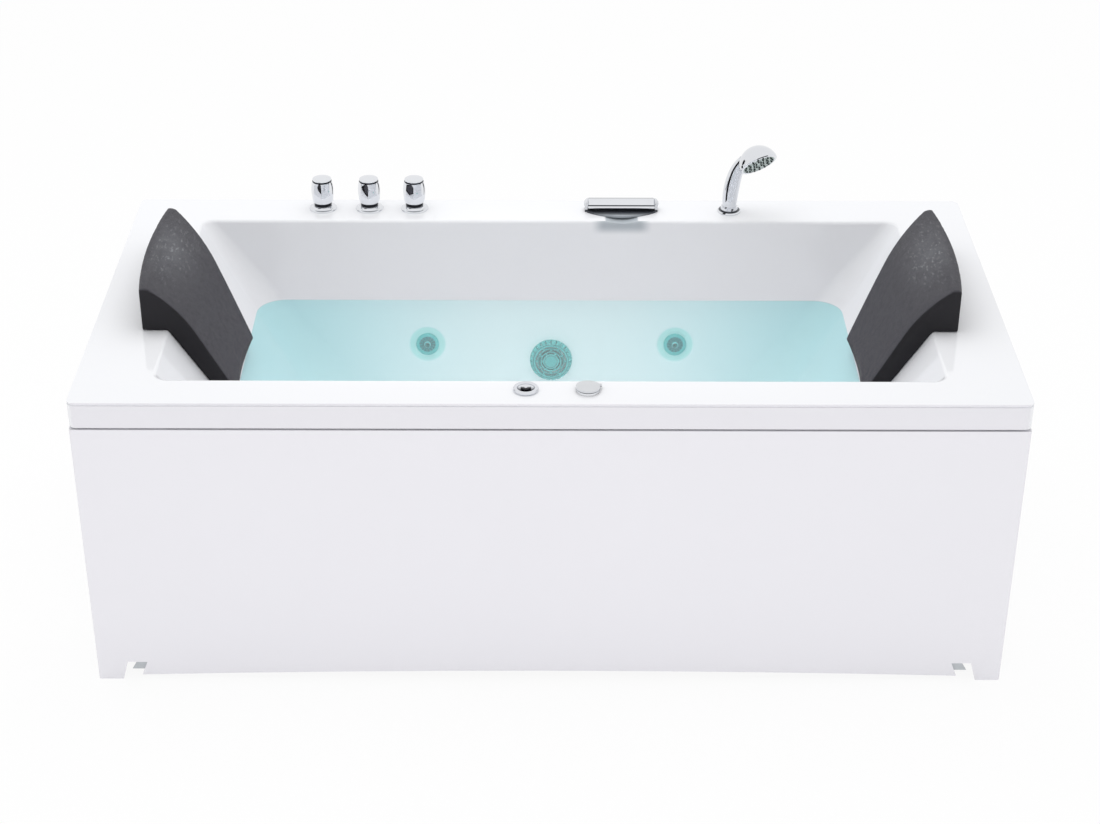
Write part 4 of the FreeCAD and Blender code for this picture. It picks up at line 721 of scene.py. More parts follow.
class Look(Enum):
    """Every finish of the tub."""

    # Painted shade in the spout's dip and round the jets, and the fascia in the deck's shade.
    ACRYLIC = TubAcrylic("white_acrylic", linear(243, 244, 247), 0.07, variation=0.012, patch=0.4,
                         relief_size=0.03, relief_height=0.00003, submerged=True,
                         fascia=linear(234, 233, 238), dimple_shade=linear(200, 236, 234),
                         chute_shade=linear(184, 191, 197))
    PANEL = Finish("panel_sheet", linear(238, 237, 242), 0.14, variation=0.015, patch=0.35, smudge=0.06,
                   relief_size=0.02, relief_height=0.00004)
    # Flanks darkened as painted shade; the patch lighter from wear and painted sheen.
    FOAM = SkinnedFoam("moulded_foam", linear(64, 63, 69), 0.46, variation=0.16, patch=0.06, smudge=0.1,
                       relief_height=0.00014, specular=0.22, flank_shade=linear(34, 33, 37),
                       worn_and_sheen=linear(96, 97, 102))
    CHROME = Finish("polished_chrome", linear(226, 228, 232), 0.035, metallic=1.0, patch=0.03,
                    relief_size=0.012, relief_height=0.00001)
    WET_CHROME = Finish("chrome_under_water", linear(214, 222, 224), 0.08, metallic=1.0, variation=0.06,
                        patch=0.02, smudge=0.1, relief_size=0.01, relief_height=0.00002, submerged=True)
    # Painted shade: a dark line in the groove just under the knob's top.
    KNOB = Plated("knob_plating", linear(226, 228, 232), 0.035, variation=0.03,
                  zones=(Zone(linear(60, 62, 67), heights=(0.6615, 0.6642)),))
    SPOUT = SpoutPlating("spout_plating", linear(226, 228, 232), 0.16, metallic=0.3, variation=0.04,
                         patch=0.03, shade=linear(66, 69, 76), lit=linear(206, 212, 217))
    # Painted shade in the groove behind the lip, and a painted reflection as a greyer band on the sloping
    # back.
    SPOUT_BAR = Plated("spout_bar_plating", linear(226, 228, 232), 0.05, variation=0.03,
                       way=(0.0, 1.0, 0.0), soft=0.0003,
                       zones=(Zone(linear(84, 87, 94), heights=(0.3640, 0.3674)),
                              Zone(linear(204, 206, 209), heights=(0.3850, 0.4000))))
    # Painted reflection: a near-black band on the neck under the knob.
    COLLAR = Plated("tap_collar_plating", linear(222, 224, 228), 0.04,
                    zones=(Zone(linear(34, 35, 39), heights=(DECK_HEIGHT + 0.0085, DECK_HEIGHT + 0.020)),))
    HOLDER = Plated("holder_plating", linear(222, 224, 228), 0.04,
                    zones=(Zone(linear(92, 95, 100), heights=(DECK_HEIGHT + 0.0042, DECK_HEIGHT + 0.0066)),))
    # Painted reflection: a dark band round the dome just above the spray plate.
    SHOWER = Plated("hand_shower_plating", linear(222, 224, 228), 0.035, variation=0.03,
                    centre=SPRAY_CENTRE, way=SPRAY_WAY, soft=0.0016,
                    zones=(Zone(linear(66, 68, 73), radii=(0.0, 0.0205), heights=(0.0092, 0.0125)),))
    # Painted shade in the dish round the button, on its front side only.
    BUTTON_RING = Plated("button_ring_plating", linear(222, 224, 229), 0.05, patch=0.02,
                         centre=BUTTON_CENTRE, soft=0.0008, front=(-0.379, -0.366),
                         zones=(Zone(linear(84, 87, 93), radii=(0.0, 0.0152),
                                     heights=(DECK_HEIGHT, DECK_HEIGHT + 0.0052)),))
    # Painted shade: a dark crescent on the button's front side.
    BUTTON = Plated("button_plating", linear(222, 224, 229), 0.05, patch=0.02,
                    centre=BUTTON_CENTRE, front=(-0.377, -0.372), soft=0.0006,
                    zones=(Zone(linear(36, 38, 42), radii=(0.0030, 0.0100)),))
    # Painted shade: a dark band round the cap's lower rim.
    CAP = Plated("air_cap_plating", linear(216, 218, 221), 0.09, variation=0.05, patch=0.02,
                 zones=(Zone(linear(50, 52, 56), heights=(DECK_HEIGHT, DECK_HEIGHT + 0.0050)),))
    SPRAY_FACE = Zoned("spray_face", linear(168, 182, 178), 0.28, metallic=0.5, variation=0.25, patch=0.008,
                       centre=SPRAY_CENTRE, way=SPRAY_WAY, soft=0.0003,
                       zones=(Zone(linear(34, 48, 46), heights=(-0.02, 0.0004)),))
    # Painted shade: dark rings stand for the shade in the cover's slots.
    WET_GRILLE = Zoned("grille_under_water", linear(150, 218, 216), 0.22, metallic=0.1, variation=0.05,
                       patch=0.02, smudge=0.1, relief_size=0.01, submerged=True,
                       zones=tuple(Zone(linear(10, 104, 108), radii=(r, r + 0.0009))
                                   for r in (0.0125, 0.0172, 0.0220, 0.0268, 0.0316, 0.0366)))
    # Painted shade: the dark colour stands for the shade inside the suction well.
    WET_WELL = Finish("well_under_water", linear(40, 120, 122), 0.4, variation=0.15, patch=0.02, smudge=0.1,
                      submerged=True)
    RUBBER = Finish("black_rubber", linear(38, 38, 40), 0.62, variation=0.2, patch=0.02, smudge=0.15,
                    relief_size=0.0015, relief_height=0.00008)
    BRASS = Finish("machined_brass", linear(214, 184, 122), 0.28, metallic=1.0, variation=0.12, patch=0.02,
                   smudge=0.18, relief_size=0.002, relief_height=0.00003)
    ZINC = Finish("zinc_plate", linear(188, 192, 196), 0.34, metallic=1.0, variation=0.16, patch=0.015,
                  smudge=0.2, relief_size=0.003, relief_height=0.00004)
    COATED_STEEL = Finish("grey_coated_steel", linear(168, 172, 176), 0.45, variation=0.05, patch=0.06,
                          smudge=0.12, relief_size=0.0012, relief_height=0.00005)
    BOARD = PressedBoard("chipboard", linear(206, 178, 138), 0.7, variation=0.12, patch=0.04, smudge=0.1,
                         relief_size=0.002, relief_height=0.0001)
    PIPE = DrawnPipe("grey_pipe", linear(214, 217, 219), 0.38, variation=0.05, patch=0.06, smudge=0.15,
                     relief_size=0.003, relief_height=0.00004)
    BLACK_PLASTIC = Finish("moulded_black", linear(34, 35, 38), 0.42, variation=0.15, patch=0.03, smudge=0.2,
                           relief_size=0.0009, relief_height=0.00006)
    MOTOR = Finish("cast_motor_case", linear(128, 140, 150), 0.48, metallic=0.35, variation=0.1, patch=0.04,
                   smudge=0.15, relief_size=0.0016, relief_height=0.00012)
    WATER = StillWater("still_water", linear(214, 250, 251), 0.03, ior=1.33, variation=0.02, patch=0.3,
                       smudge=0.0, relief_size=0.09, relief_height=0.0004)


# ------------------------------------------------------------------ meshes
def add(name: str, data: bpy.types.ID) -> Object:
    """Put an object with this mesh, lamp or camera in the scene and return it."""
    made = bpy.data.objects.new(name, data)
    bpy.context.scene.collection.objects.link(made)
    return made


def carry(made: Object, body: str, look: Look) -> None:
    """Give a mesh object smooth faces and its one finish, and ride it on a body."""
    mesh = made.data
    mesh.materials.clear()
    mesh.materials.append(look.value.material())
    mesh.polygons.foreach_set("use_smooth", [True] * len(mesh.polygons))
    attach(made, body)
    log.info("%s: %d vertices", made.name, len(mesh.vertices))


def put_on(name: str, points: np.ndarray, faces: Sequence, body: str,
           look: Look) -> Object:
    """Make a smooth mesh object at the origin, ride it on a body and give it its finish.

    Args:
        name: The piece's name.
        points: Vertices, one row each, in metres.
        faces: Vertex numbers of each face.
        body: Body that the piece moves with.
        look: Its finish.

    Returns:
        The new object.
    """
    mesh = bpy.data.meshes.new(name)
    mesh.from_pydata(points.tolist(), [], [tuple(int(i) for i in f) for f in faces])
    mesh.validate()
    made = add(name, mesh)
    carry(made, body, look)
    return made


def crisp(made: Object, angle: float = math.radians(24.0)) -> None:
    """Shade a piece smooth except over edges that turn by more than an angle."""
    with bpy.context.temp_override(object=made, active_object=made, selected_objects=[made],
                                   selected_editable_objects=[made]):
        bpy.ops.object.shade_smooth_by_angle(angle=angle)


def grid_faces(rows: int, columns: int, closed: bool) -> np.ndarray:
    """Quads of a grid of rows by columns of points, row by row, wrapped round if closed."""
    r, c = np.meshgrid(np.arange(rows - 1), np.arange(columns if closed else columns - 1), indexing="ij")
    n = (c + 1) % columns
    quads = np.stack([r * columns + c, r * columns + n, (r + 1) * columns + n, (r + 1) * columns + c], -1)
    return quads.reshape(-1, 4)


def ramp(values: np.ndarray, low: float, high: float) -> np.ndarray:
    """Rise from 0 at the low value to 1 at the high one, and stay level outside them."""
    return np.clip((values - low) / (high - low), 0.0, 1.0)


def fan(first: int, count: int, tip: int, turned: bool = False) -> list[tuple[int, int, int]]:
    """Triangles from a ring of points, numbered from the first one, to a tip."""
    pairs = [(first + k, first + (k + 1) % count) for k in range(count)]
    return [(b, a, tip) if turned else (a, b, tip) for a, b in pairs]


def basin_outline(z: float, inset: float, count: int) -> np.ndarray:
    """Points round the basin at a height, as (x, y), anticlockwise seen from above.

    The outline is a rectangle with quarter-circle corners: each corner's centre plus
    radius * (cos t, sin t). Its half length and its front and back shift with height as
    the walls lean, by (deck height - z) * tan(lean).

    Args:
        z: Height in metres.
        inset: Distance that the outline is drawn in.
        count: Points to each corner.

    Returns:
        An array of 4 * count points.
    """
    drop = DECK_HEIGHT - z
    radius = RIM_CORNER + drop / BASIN_DEPTH * (FLOOR_CORNER - RIM_CORNER) - inset
    x = HALF_LENGTH - END_DECK - drop * math.tan(END_LEAN) - inset
    front = -HALF_WIDTH + FRONT_DECK + drop * math.tan(SIDE_LEAN) + inset
    back = HALF_WIDTH - BACK_DECK - drop * math.tan(SIDE_LEAN) - inset
    turn = np.linspace(0.0, math.pi / 2, count)
    corners = [(x, back, 0), (-x, back, 1), (-x, front, 2), (x, front, 3)]
    parts = []
    for cx, cy, k in corners:
        centre = np.array([cx - math.copysign(radius, cx), cy - math.copysign(radius, cy)])
        t = turn + k * math.pi / 2
        parts.append(centre + radius * np.stack([np.cos(t), np.sin(t)], -1))
    return np.concatenate(parts)


# ------------------------------------------------------------------ sub-assemblies
@dataclass
class CarriedNodes:
    """The rigid nodes that keep their solids and take a finish."""

    looks: dict[Look, str] = field(default_factory=lambda: {
        Look.ACRYLIC: "tub_shell",
        Look.PANEL: "front_panel end_panel_left end_panel_right",
        Look.BOARD: "base_board pump_board",
        Look.COATED_STEEL: "frame_long_rails frame_cross_members frame_posts",
        Look.ZINC: "foot_studs foot_nuts panel_clips",
        Look.RUBBER: "deck_seals air_bellows",
        Look.BRASS: "deck_nuts supply_valves diverter_valve link_pipes hot_spindle cold_spindle "
                    "diverter_spindle",
        Look.SPOUT: "spout_body",
        Look.COLLAR: "tap_flanges",
        Look.SHOWER: "hand_shower",
        Look.HOLDER: "shower_holder",
        Look.SPRAY_FACE: "spray_plate",
        Look.BUTTON_RING: "button_ring",
        Look.BUTTON: "air_button",
        Look.CAP: "air_control_cap",
        Look.WET_GRILLE: "suction_cover",
        Look.WET_WELL: "suction_housing",
        Look.WET_CHROME: "drain_flange drain_plug",
        Look.PIPE: "jet_housings overflow_housing waste_pipes suction_pipe water_pipes air_pipes",
        Look.BLACK_PLASTIC: "foot_pads pump_volute pump_impeller control_box",
        Look.MOTOR: "pump_motor",
    })

    def dress(self) -> None:
        """Give each node its finish: jets have one of their own, and what is left is chrome."""
        looks = {name: look for look, names in self.looks.items() for name in names.split()}
        for name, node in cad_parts.items():
            finish = looks.get(name, Look.CHROME).value
            if name.startswith(("jet_ring_", "jet_nozzle_")):
                finish = self.jet_finish(name)
            elif name == "suction_cover":
                finish = replace(finish, centre=self.middle(name), way=self.wall_way(1.0))
            elif name == "tub_shell":
                finish = replace(finish, jets=self.jet_axes())
            node.data.materials.clear()
            node.data.materials.append(finish.material())
        log.info("%d nodes dressed", len(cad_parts))

    def middle(self, node: str) -> Place:
        """Middle of a node's box."""
        low, high = (np.array(c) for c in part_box(node))
        return tuple(((low + high) / 2).tolist())

    def wall_way(self, side: float) -> Place:
        """Direction square to a long wall, into the basin. The side is 1 for the far wall."""
        return (0.0, -side * SIDE_WAY[0], SIDE_WAY[1])

    def jet_axes(self) -> tuple[Axis, ...]:
        """Centre and direction of every jet's axis."""
        centres = [self.middle(name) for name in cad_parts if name.startswith("jet_ring_")]
        return tuple((c, self.wall_way(math.copysign(1.0, c[1]))) for c in centres)

    def jet_finish(self, name: str) -> JetFinish:
        """Finish of one jet piece, laid out round that jet's own axis.

        Args:
            name: The node's name, which ends in the jet's place.

        Returns:
            The finish.
        """
        centre = self.middle("jet_ring_" + name.split("_", 2)[2])
        # Painted shade in the funnel, painted light on the fins and a painted highlight on the rim.
        return JetFinish(name + "_plating", linear(170, 228, 226), 0.2, metallic=0.1, variation=0.08,
                         patch=0.01, smudge=0.08, submerged=True, centre=centre,
                         way=self.wall_way(math.copysign(1.0, centre[1])), dark=linear(0, 104, 112),
                         fin_light=linear(70, 176, 174), rim_highlight=linear(250, 255, 255))


@dataclass
class TapKnob:
    """One faceted tap knob with a round flat top.

    Attributes:
        tap: Name of the tap, as in its node and body.
        foot: Height of its lower face.
        rise: Its height.
        facets: Number of facets.
        columns: Points round it.
    """

    tap: str
    foot: float = 0.616
    rise: float = 0.051
    facets: int = 8
    columns: int = 128

    def build(self) -> Object:
        """Turn the profile round the axis and flatten it into facets.

        The radius at an angle t is R(h) * (1 - w(h) + w(h) * cos(a) / cos(u - a)), where a is
        half a facet's angle and u is t modulo a whole facet, counted from -Y. w is 1 on the
        barrel and 0 on the round top and foot.

        Returns:
            The knob.
        """
        share, radius, flat = (np.array(v) for v in zip(*self.profile()))
        turn = np.linspace(0.0, 2 * math.pi, self.columns, endpoint=False)
        half = math.pi / self.facets
        inward = math.cos(half) / np.cos((turn + math.pi / 2) % (2 * half) - half)
        reach = radius[:, None] * (1 - flat[:, None] + flat[:, None] * inward)
        place = TAP_PLACES[self.tap]
        x = place[0] + reach * np.cos(turn)
        y = place[1] + reach * np.sin(turn)
        z = np.broadcast_to(self.foot + share[:, None] * self.rise, x.shape)
        points = np.stack([x, y, z], -1).reshape(-1, 3)
        ends = [[*place, self.foot + share[0] * self.rise], [*place, self.foot + share[-1] * self.rise]]
        rows = len(share)
        count = rows * self.columns
        faces = grid_faces(rows, self.columns, True).tolist()
        faces += fan(0, self.columns, count, turned=True) + fan(count - self.columns, self.columns, count + 1)
        made = put_on(self.tap + "_knob_cap", np.concatenate([points, ends]), faces, self.tap + "_tap",
                      Look.KNOB)
        crisp(made)
        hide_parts(self.tap + "_knob")
        return made

    def profile(self) -> list[tuple[float, float, float]]:
        """Height share, radius in metres and flatness of the facets, from the foot to the top."""
        return [
            (0.0, 0.0185, 0.0), (0.006, 0.0200, 0.2), (0.03, 0.0207, 0.6), (0.08, 0.0211, 0.72),
            (0.16, 0.0217, 0.75), (0.26, 0.0223, 0.75), (0.36, 0.0227, 0.75), (0.46, 0.0228, 0.75),
            (0.56, 0.0226, 0.75), (0.66, 0.0221, 0.75), (0.75, 0.0215, 0.75), (0.82, 0.0209, 0.7),
            (0.87, 0.0204, 0.5), (0.90, 0.0200, 0.25), (0.915, 0.0197, 0.0), (0.925, 0.0185, 0.0),
            (0.945, 0.0184, 0.0), (0.955, 0.0193, 0.0), (0.975, 0.0194, 0.0), (0.992, 0.0190, 0.0),
            (1.0, 0.0180, 0.0), (1.0, 0.0090, 0.0),
        ]


@dataclass
class SpoutBar:
    """The bar over the spout's mouth: a sloping back, a groove and a half-round lip.

    Attributes:
        low_x: Left end.
        high_x: Right end.
        front: Y of the lip's front.
        depth: Size from front to back.
        foot: Height of its underside.
        rise: Its height.
        end_round: Radius at its two ends.
        end_squeeze: Share by which the section shrinks at the very ends.
        lip: Radius of the half-round lip.
    """

    low_x: float = 0.078
    high_x: float = 0.216
    front: float = 0.361
    depth: float = 0.033
    foot: float = 0.6095
    rise: float = 0.0126
    end_round: float = 0.003
    end_squeeze: float = 0.28
    lip: float = 0.0026

    def build(self) -> Object:
        """Carry the section along X and draw it in at the ends.

        A section's points are middle + k * (point - middle), where k is 1 away from the ends
        and follows a quarter circle over the last stretch of the end radius.

        Returns:
            The bar.
        """
        section = self.section()
        middle = (section.min(0) + section.max(0)) / 2
        steps = np.linspace(0.0, math.pi / 2, 7)
        k = 1 - (1 - np.cos(math.pi / 2 - steps)) * self.end_squeeze
        xs = np.concatenate([self.low_x + self.end_round - self.end_round * np.cos(steps),
                             self.high_x - self.end_round + self.end_round * np.cos(steps[::-1])])
        scale = np.concatenate([k, k[::-1]])
        rows, columns = len(xs), len(section)
        flat = middle + scale[:, None, None] * (section - middle)
        across = np.broadcast_to(xs[:, None, None], (rows, columns, 1))
        points = np.concatenate([across, flat], -1).reshape(-1, 3)
        ends = [[xs[0], *middle], [xs[-1], *middle]]
        faces = grid_faces(rows, columns, True)[:, ::-1].tolist()
        count = rows * columns
        faces += fan(0, columns, count) + fan(count - columns, columns, count + 1, turned=True)
        made = put_on("spout_bar_cover", np.concatenate([points, ends]), faces, "tub",
                      Look.SPOUT_BAR)
        crisp(made)
        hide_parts("spout_bar")
        return made

    def section(self) -> np.ndarray:
        """The (y, z) outline: half-round lip, groove, sloping back, flat underside."""
        lip = self.lip
        t = np.linspace(-math.pi / 2, math.pi / 2, 9)
        nose = np.stack([self.front + lip - lip * np.cos(t), self.foot + lip + lip * np.sin(t)], -1)
        start = self.front + lip + 0.0012
        brow = self.foot + 2 * lip
        top = self.foot + self.rise
        back = self.front + self.depth
        rest = [
            (start, brow), (start + 0.0008, brow - 0.0012), (start + 0.0018, brow - 0.0010),
            (start + 0.0020, brow + 0.0006), (start + 0.0060, brow + 0.0030), (start + 0.0115, brow + 0.0052),
            (back - 0.0100, top - 0.0004), (back - 0.0070, top), (back - 0.0020, top - 0.0006),
            (back, top - 0.0030), (back, self.foot),
        ]
        return np.concatenate([nose, np.array(rest)])


@dataclass
class WaterFill:
    """The water that fills the basin, as its surface.

    Attributes:
        gap: Distance that it keeps from the wall.
        rings: Rings of points from the middle to the wall.
        corner_points: Points to each corner of the outline.
        side_step: Distance between points along the straight sides.
        crowding: Power that crowds the rings towards the wall.
        waves: Turns per metre along X and Y in radians, shift and share of each wave.
        ripple: Height of the waves.
        calm: Distance from the wall over which the waves die down.
        meniscus: Height to which the water climbs the wall.
        meniscus_width: Distance over which it climbs.
    """

    gap: float = 0.0004
    rings: int = 90
    corner_points: int = 40
    side_step: float = 0.02
    crowding: float = 1.6
    waves: tuple[tuple[float, ...], ...] = ((17, 9, 0, 1), (-13, 29, 1.3, 0.7), (41, 0, 3.1, 0.5))
    ripple: float = 0.0006
    calm: float = 0.03
    meniscus: float = 0.0012
    meniscus_width: float = 0.004

    def build(self) -> Object:
        """Lay rings of points from the middle out to the wall.

        A point is centre + s * (outline - centre), and its height is the level plus three crossed
        sine waves of the ripple's height, plus meniscus * exp(-distance to wall / width).

        Returns:
            The water surface.
        """
        outline = self.spread_side(basin_outline(WATER_LEVEL, self.gap, self.corner_points))
        centre = outline.mean(0)
        share = 1.0 - (1.0 - np.linspace(0.0, 1.0, self.rings)) ** self.crowding
        flat = centre + share[::-1, None, None] * (outline - centre)
        away = (1.0 - share[::-1, None]) * np.linalg.norm(outline - centre, axis=1)
        x, y = flat[..., 0], flat[..., 1]
        wave = sum(part * np.sin(kx * x + ky * y + shift) for kx, ky, shift, part in self.waves)
        z = WATER_LEVEL + self.ripple * wave * (1 - np.exp(-away / self.calm))
        z = z + self.meniscus * np.exp(-away / self.meniscus_width)
        points = np.concatenate([flat, z[..., None]], -1)[:-1].reshape(-1, 3)
        count = len(outline)
        faces = grid_faces(self.rings - 1, count, True).tolist()
        faces += fan(len(points) - count, count, len(points))
        points = np.concatenate([points, [[*centre, WATER_LEVEL]]])
        return put_on("bath_water_surface", points, faces, "tub", Look.WATER)

    def spread_side(self, outline: np.ndarray) -> np.ndarray:
        """Add points along the outline's straight sides."""
        following = np.roll(outline, -1, axis=0)
        spans = np.linalg.norm(following - outline, axis=1)
        steps = np.maximum(1, np.ceil(spans / self.side_step)).astype(int)
        return np.concatenate([
            a + np.arange(n)[:, None] / n * (b - a) for a, b, n in zip(outline, following, steps)
        ])


@dataclass
class Headrest:
    """One moulded pad: its solid remeshed, its edges eased and its resting face crowned.

    Attributes:
        side: -1 for the left pad, 1 for the right.
        voxel: Size of the remesh.
        soften: Smoothing passes, which round the edges.
        crown: Height of the swell in the middle of the resting face.
        patch_middle: Middle of the patch of wear and painted sheen, outwards along the pad and across it, in
            half sizes.
        patch_reach: Reach of the patch the same two ways.
        patch_edge: Place outwards between which the patch ends and is full.
        up: How far up the skin looks where it doesn't count as lying on top, and where it does.
        face_up: The same for the tone of the resting face.
        face_side: How far sideways the skin looks where it has the flanks' painted shade, and where it has
            the face's tone.
    """

    side: int
    voxel: float = 0.0024
    soften: int = 3
    crown: float = 0.0025
    patch_middle: Limits = (0.52, 0.02)
    patch_reach: Limits = (0.42, 0.62)
    patch_edge: Limits = (0.97, 0.83)
    up: Limits = (0.125, 0.75)
    face_up: Limits = (-1 / 15, 4 / 15)
    face_side: Limits = (0.78, 0.62)

    @property
    def node(self) -> str:
        """Name of the CAD node."""
        return "headrest_left" if self.side < 0 else "headrest_right"

    def build(self) -> Object:
        """Copy the solid, remesh and soften it, swell its face and mark its tones.

        Returns:
            The pad.
        """
        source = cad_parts[self.node]
        made = add(self.node + "_pad", source.data.copy())
        weld = made.modifiers.new("weld", "WELD")
        weld.merge_threshold = 0.00005
        remesh = made.modifiers.new("remesh", "REMESH")
        remesh.mode = "VOXEL"
        remesh.voxel_size = self.voxel
        smooth = made.modifiers.new("soften", "SMOOTH")
        smooth.factor = 0.5
        smooth.iterations = self.soften
        depsgraph = bpy.context.evaluated_depsgraph_get()
        settled = bpy.data.meshes.new_from_object(made.evaluated_get(depsgraph))
        made.modifiers.clear()
        made.data = settled
        self.shape(settled)
        carry(made, self.node, Look.FOAM)
        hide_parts(self.node)
        return made

    def shape(self, mesh: bpy.types.Mesh) -> None:
        """Swell the resting face and store the "face" and "patch" masks.

        The lift is crown * (1 - u^2) * (1 - v^2), where u runs from -1 to 1 across the pad and v along it,
        and it counts only where the face looks up. "face" is a smooth step of how little the skin looks
        sideways along Y; where it is low, the flanks take their painted shade. "patch" is a round hill over
        the pad's upper part, exp(-(distance / reach)^2), where the skin is lighter from wear and painted
        sheen.
        """
        place, normal = (self.read(mesh, name) for name in ("co", "normal"))
        low, high = place.min(0), place.max(0)
        middle, half = (low + high) / 2, (high - low) / 2
        u = (place[:, 1] - middle[1]) / half[1]
        v = (place[:, 0] - middle[0]) / half[0]
        looks_up = ramp(normal[:, 2], *self.up)
        lift = self.crown * np.clip(1 - u ** 2, 0, 1) * np.clip(1 - v ** 2, 0, 1) * looks_up
        mesh.vertices.foreach_set("co", (place + normal * lift[:, None]).ravel())
        face = ramp(np.abs(normal[:, 1]), *self.face_side) * ramp(normal[:, 2], *self.face_up)
        outward = v * self.side
        along, across = self.patch_middle
        away = ((outward - along) / self.patch_reach[0]) ** 2 + ((u - across) / self.patch_reach[1]) ** 2
        patch = np.exp(-away) * ramp(outward, *self.patch_edge) * looks_up
        for label, values in (("face", face), ("patch", patch)):
            layer = mesh.attributes.new(label, "FLOAT", "POINT")
            layer.data.foreach_set("value", values.astype(np.float32))
        mesh.update()

    def read(self, mesh: bpy.types.Mesh, name: str) -> np.ndarray:
        """Read a vector of every vertex."""
        values = np.empty(len(mesh.vertices) * 3)
        mesh.vertices.foreach_get(name, values)
        return values.reshape(-1, 3)


# ------------------------------------------------------------------ studio
@dataclass
class Studio:
    """Floor, white surroundings, lamps and the camera.

    Attributes:
        focal_pixels: Focal length in pixels of the photograph's width.
        frame_width: The photograph's width in pixels.
        camera_place: Camera position in metres.
        yaw: Camera heading from +Y towards +X, in degrees.
        pitch: Angle below level, in degrees.
        roll: Turn about the line of sight, in degrees.
        front_sky: Strength of the surroundings as a light, in front of the tub.
        back_sky: The same behind it.
        floor_reach: Half the floor's width.
        floor_white: Linear colour of the floor's matt part.
        floor_glow: Share by which the floor shows as plain white.
    """

    focal_pixels: float = 2184.0
    frame_width: float = 1100.0
    sensor: float = 36.0
    camera_place: tuple[float, float, float] = (-0.014, -3.733, 2.517)
    yaw: float = 0.22
    pitch: float = 30.29
    roll: float = 0.23
    front_sky: float = 0.69
    back_sky: float = 0.94
    floor_reach: float = 14.0
    floor_white: RGB = (0.97, 0.97, 0.972)
    floor_glow: float = 0.92

    def build(self) -> None:
        """Set up everything that isn't the tub."""
        self.camera()
        self.world()
        self.floor()
        self.lamp("top_softbox", (-0.2, 0.6, 3.2), (0.0, 0.0, 0.4), (3.0, 2.0), 24.0)
        self.lamp("panel_softbox", (0.0, -3.2, 0.30), (0.0, 0.0, 0.28), (4.0, 0.5), 16.0)
        self.lamp("basin_softbox", (0.0, -0.25, 2.0), (0.0, 0.05, 0.3), (1.0, 0.3), 0.35, math.radians(24.0))
        for x, y in TAP_PLACES.values():
            self.card("tap_side_card", (x + 0.040, y + 0.013), -45.0, (0.002, 0.0045), 0.620, 0.654)
        self.card("shower_card", (0.330, 0.345), 100.0, (0.020, 0.026), 0.605, 0.750)

    def camera(self) -> None:
        """Place the camera: columns right, up and back are turned by yaw, pitch and roll."""
        data = bpy.data.cameras.new("camera")
        data.sensor_fit = "HORIZONTAL"
        data.sensor_width = self.sensor
        data.lens = self.focal_pixels / self.frame_width * self.sensor
        data.clip_end = 60.0
        yaw, pitch, roll = (math.radians(a) for a in (self.yaw, self.pitch, self.roll))
        ahead = Vector((math.sin(yaw) * math.cos(pitch), math.cos(yaw) * math.cos(pitch), -math.sin(pitch)))
        level = Vector((math.cos(yaw), -math.sin(yaw), 0.0))
        above = level.cross(ahead)
        right = math.cos(roll) * level + math.sin(roll) * above
        up = -math.sin(roll) * level + math.cos(roll) * above
        turn = Matrix((right, up, -ahead)).transposed().to_4x4()
        made = add("camera", data)
        made.matrix_world = Matrix.Translation(Vector(self.camera_place)) @ turn
        bpy.context.scene.camera = made

    def seen(self, graph: Graph) -> Socket:
        """1 for what the camera sees directly, in metal or through glass."""
        path = graph.node("LightPath").outputs
        most = graph.math("MAXIMUM", path["Is Camera Ray"], path["Is Glossy Ray"])
        return graph.math("MAXIMUM", most, path["Is Transmission Ray"])

    def world(self) -> None:
        """White surroundings. As a light they are dimmer in front of the tub than behind it."""
        made = bpy.data.worlds.new("studio_world")
        graph = Graph.blank(made)
        heading = graph.axes(graph.node("TexCoord").outputs["Generated"])[1]
        sky = graph.spread(heading, -0.9, 0.7, self.front_sky, self.back_sky)
        strength = graph.node("Mix", {0: self.seen(graph), 2: sky, 3: 1.0}).outputs[0]
        back = graph.node("Background", {"Color": WHITE, "Strength": strength})
        graph.surface(back.outputs[0], "OutputWorld")
        bpy.context.scene.world = made
        bpy.context.scene.view_settings.view_transform = "Standard"

    def sheet(self, name: str, corners: Sequence, paint: Material, unseen: Sequence[str] = ()) -> None:
        """Add a flat piece of the stage.

        Args:
            name: Its name.
            corners: Its four corners in turn.
            paint: Its material.
            unseen: Kinds of ray that it is hidden from, as the object's own flags.
        """
        mesh = bpy.data.meshes.new(name)
        mesh.from_pydata(corners, [], [(0, 1, 2, 3)])
        mesh.materials.append(paint)
        made = add(name, mesh)
        for ray in unseen:
            setattr(made, ray, False)

    def floor(self) -> None:
        """White floor that keeps a faint shadow under the tub."""
        paint = bpy.data.materials.new("studio_floor_white")
        graph = Graph.blank(paint)
        matt = graph.node("BsdfDiffuse", {"Color": opaque(self.floor_white)})
        glow = graph.node("Emission", {"Color": WHITE, "Strength": 1.0})
        share = graph.product(self.seen(graph), self.floor_glow)
        blend = graph.node("MixShader", {0: share, 1: matt.outputs[0], 2: glow.outputs[0]})
        graph.surface(blend.outputs[0])
        r = self.floor_reach
        self.sheet("studio_floor", [(-r, -r, 0), (r, -r, 0), (r, r, 0), (-r, r, 0)], paint)

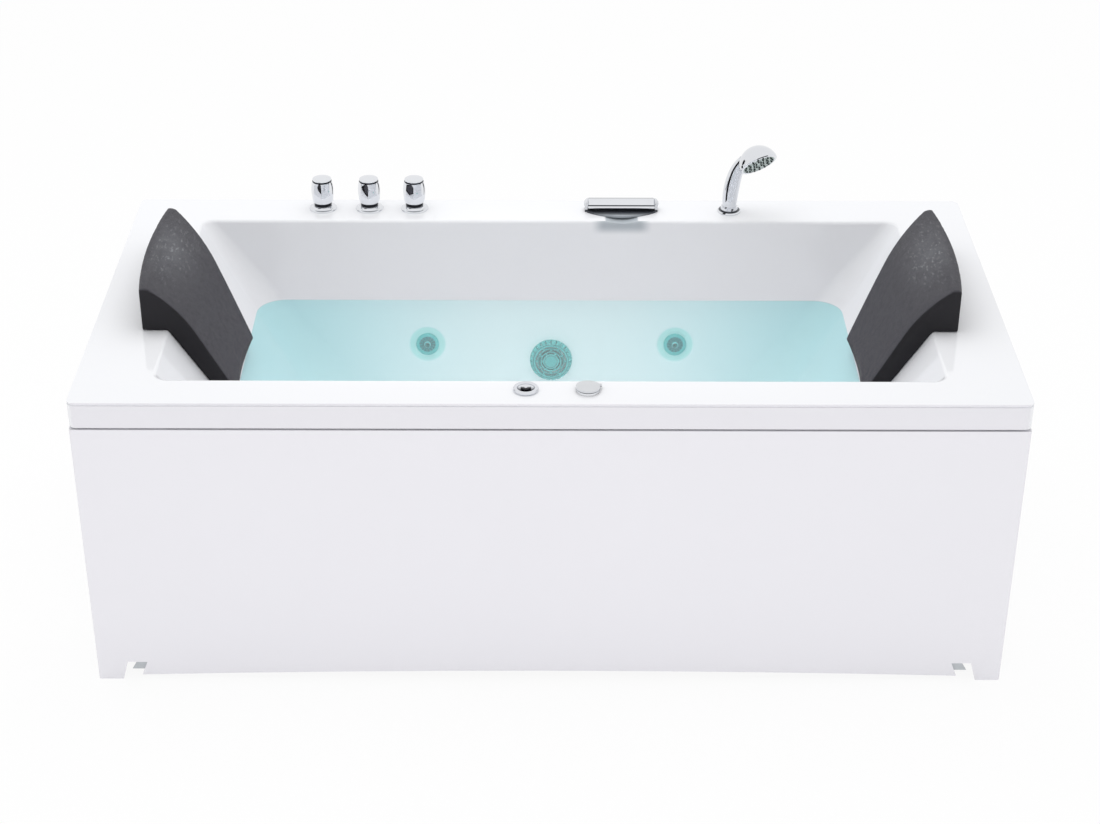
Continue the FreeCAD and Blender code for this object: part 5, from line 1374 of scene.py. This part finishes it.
    def lamp(self, name: str, place: Sequence[float], target: Sequence[float], size: Sequence[float],
             watts: float, spread: float = math.pi) -> None:
        """Hang a softbox that looks at a target and doesn't show as a hard spot in metal.

        Args:
            name: The lamp's name.
            place: Its place.
            target: Point that it looks at.
            size: Its two sides.
            watts: Its power.
            spread: Angle into which it shines, in radians.
        """
        data = bpy.data.lights.new(name, "AREA")
        data.shape = "RECTANGLE"
        data.size, data.size_y = size
        data.energy = watts
        data.spread = spread
        made = add(name, data)
        made.location = place
        made.rotation_mode = "QUATERNION"
        made.rotation_quaternion = (Vector(target) - Vector(place)).to_track_quat("-Z", "Y")
        made.visible_glossy = False
        made.visible_camera = False

    def card(self, name: str, place: Sequence[float], heading: float, widths: Sequence[float], low: float,
             high: float) -> None:
        """Stand a black card that shows only in metal, and only from one side, for the dark streaks.

        Args:
            name: The card's name.
            place: X and Y of its middle.
            heading: Angle of its width from +X, in degrees.
            widths: Its width at the lower edge and at the upper one.
            low: Height of its lower edge.
            high: Height of its upper edge.
        """
        angle = math.radians(heading)
        step = np.array([math.cos(angle), math.sin(angle)]) / 2
        foot, head = (np.array([np.array(place) - step * w, np.array(place) + step * w]) for w in widths)
        corners = [(*foot[0], low), (*foot[1], low), (*head[1], high), (*head[0], high)]
        self.sheet(name, corners, self.card_paint(),
                   ("visible_camera", "visible_diffuse", "visible_shadow", "visible_transmission"))

    def card_paint(self) -> Material:
        """Make the cards' paint once, black in front and clear at the back, and return it."""
        made = bpy.data.materials.get("card_black")
        if made:
            return made
        made = bpy.data.materials.new("card_black")
        graph = Graph.blank(made)
        black = graph.node("BsdfDiffuse", {"Color": (0.01, 0.01, 0.012, 1.0)})
        clear = graph.node("BsdfTransparent")
        back = graph.node("NewGeometry").outputs["Backfacing"]
        sides = graph.node("MixShader", {0: back, 1: black.outputs[0], 2: clear.outputs[0]})
        graph.surface(sides.outputs[0])
        return made


def main() -> None:
    """Build the looks in order."""
    logging.basicConfig(level=logging.INFO, format="%(name)s: %(message)s")
    Effects.build()
    Studio().build()
    CarriedNodes().dress()
    for tap in TAP_PLACES:
        TapKnob(tap).build()
    SpoutBar().build()
    WaterFill().build()
    for side in (-1, 1):
        Headrest(side).build()


if __name__ == "__main__":
    main()
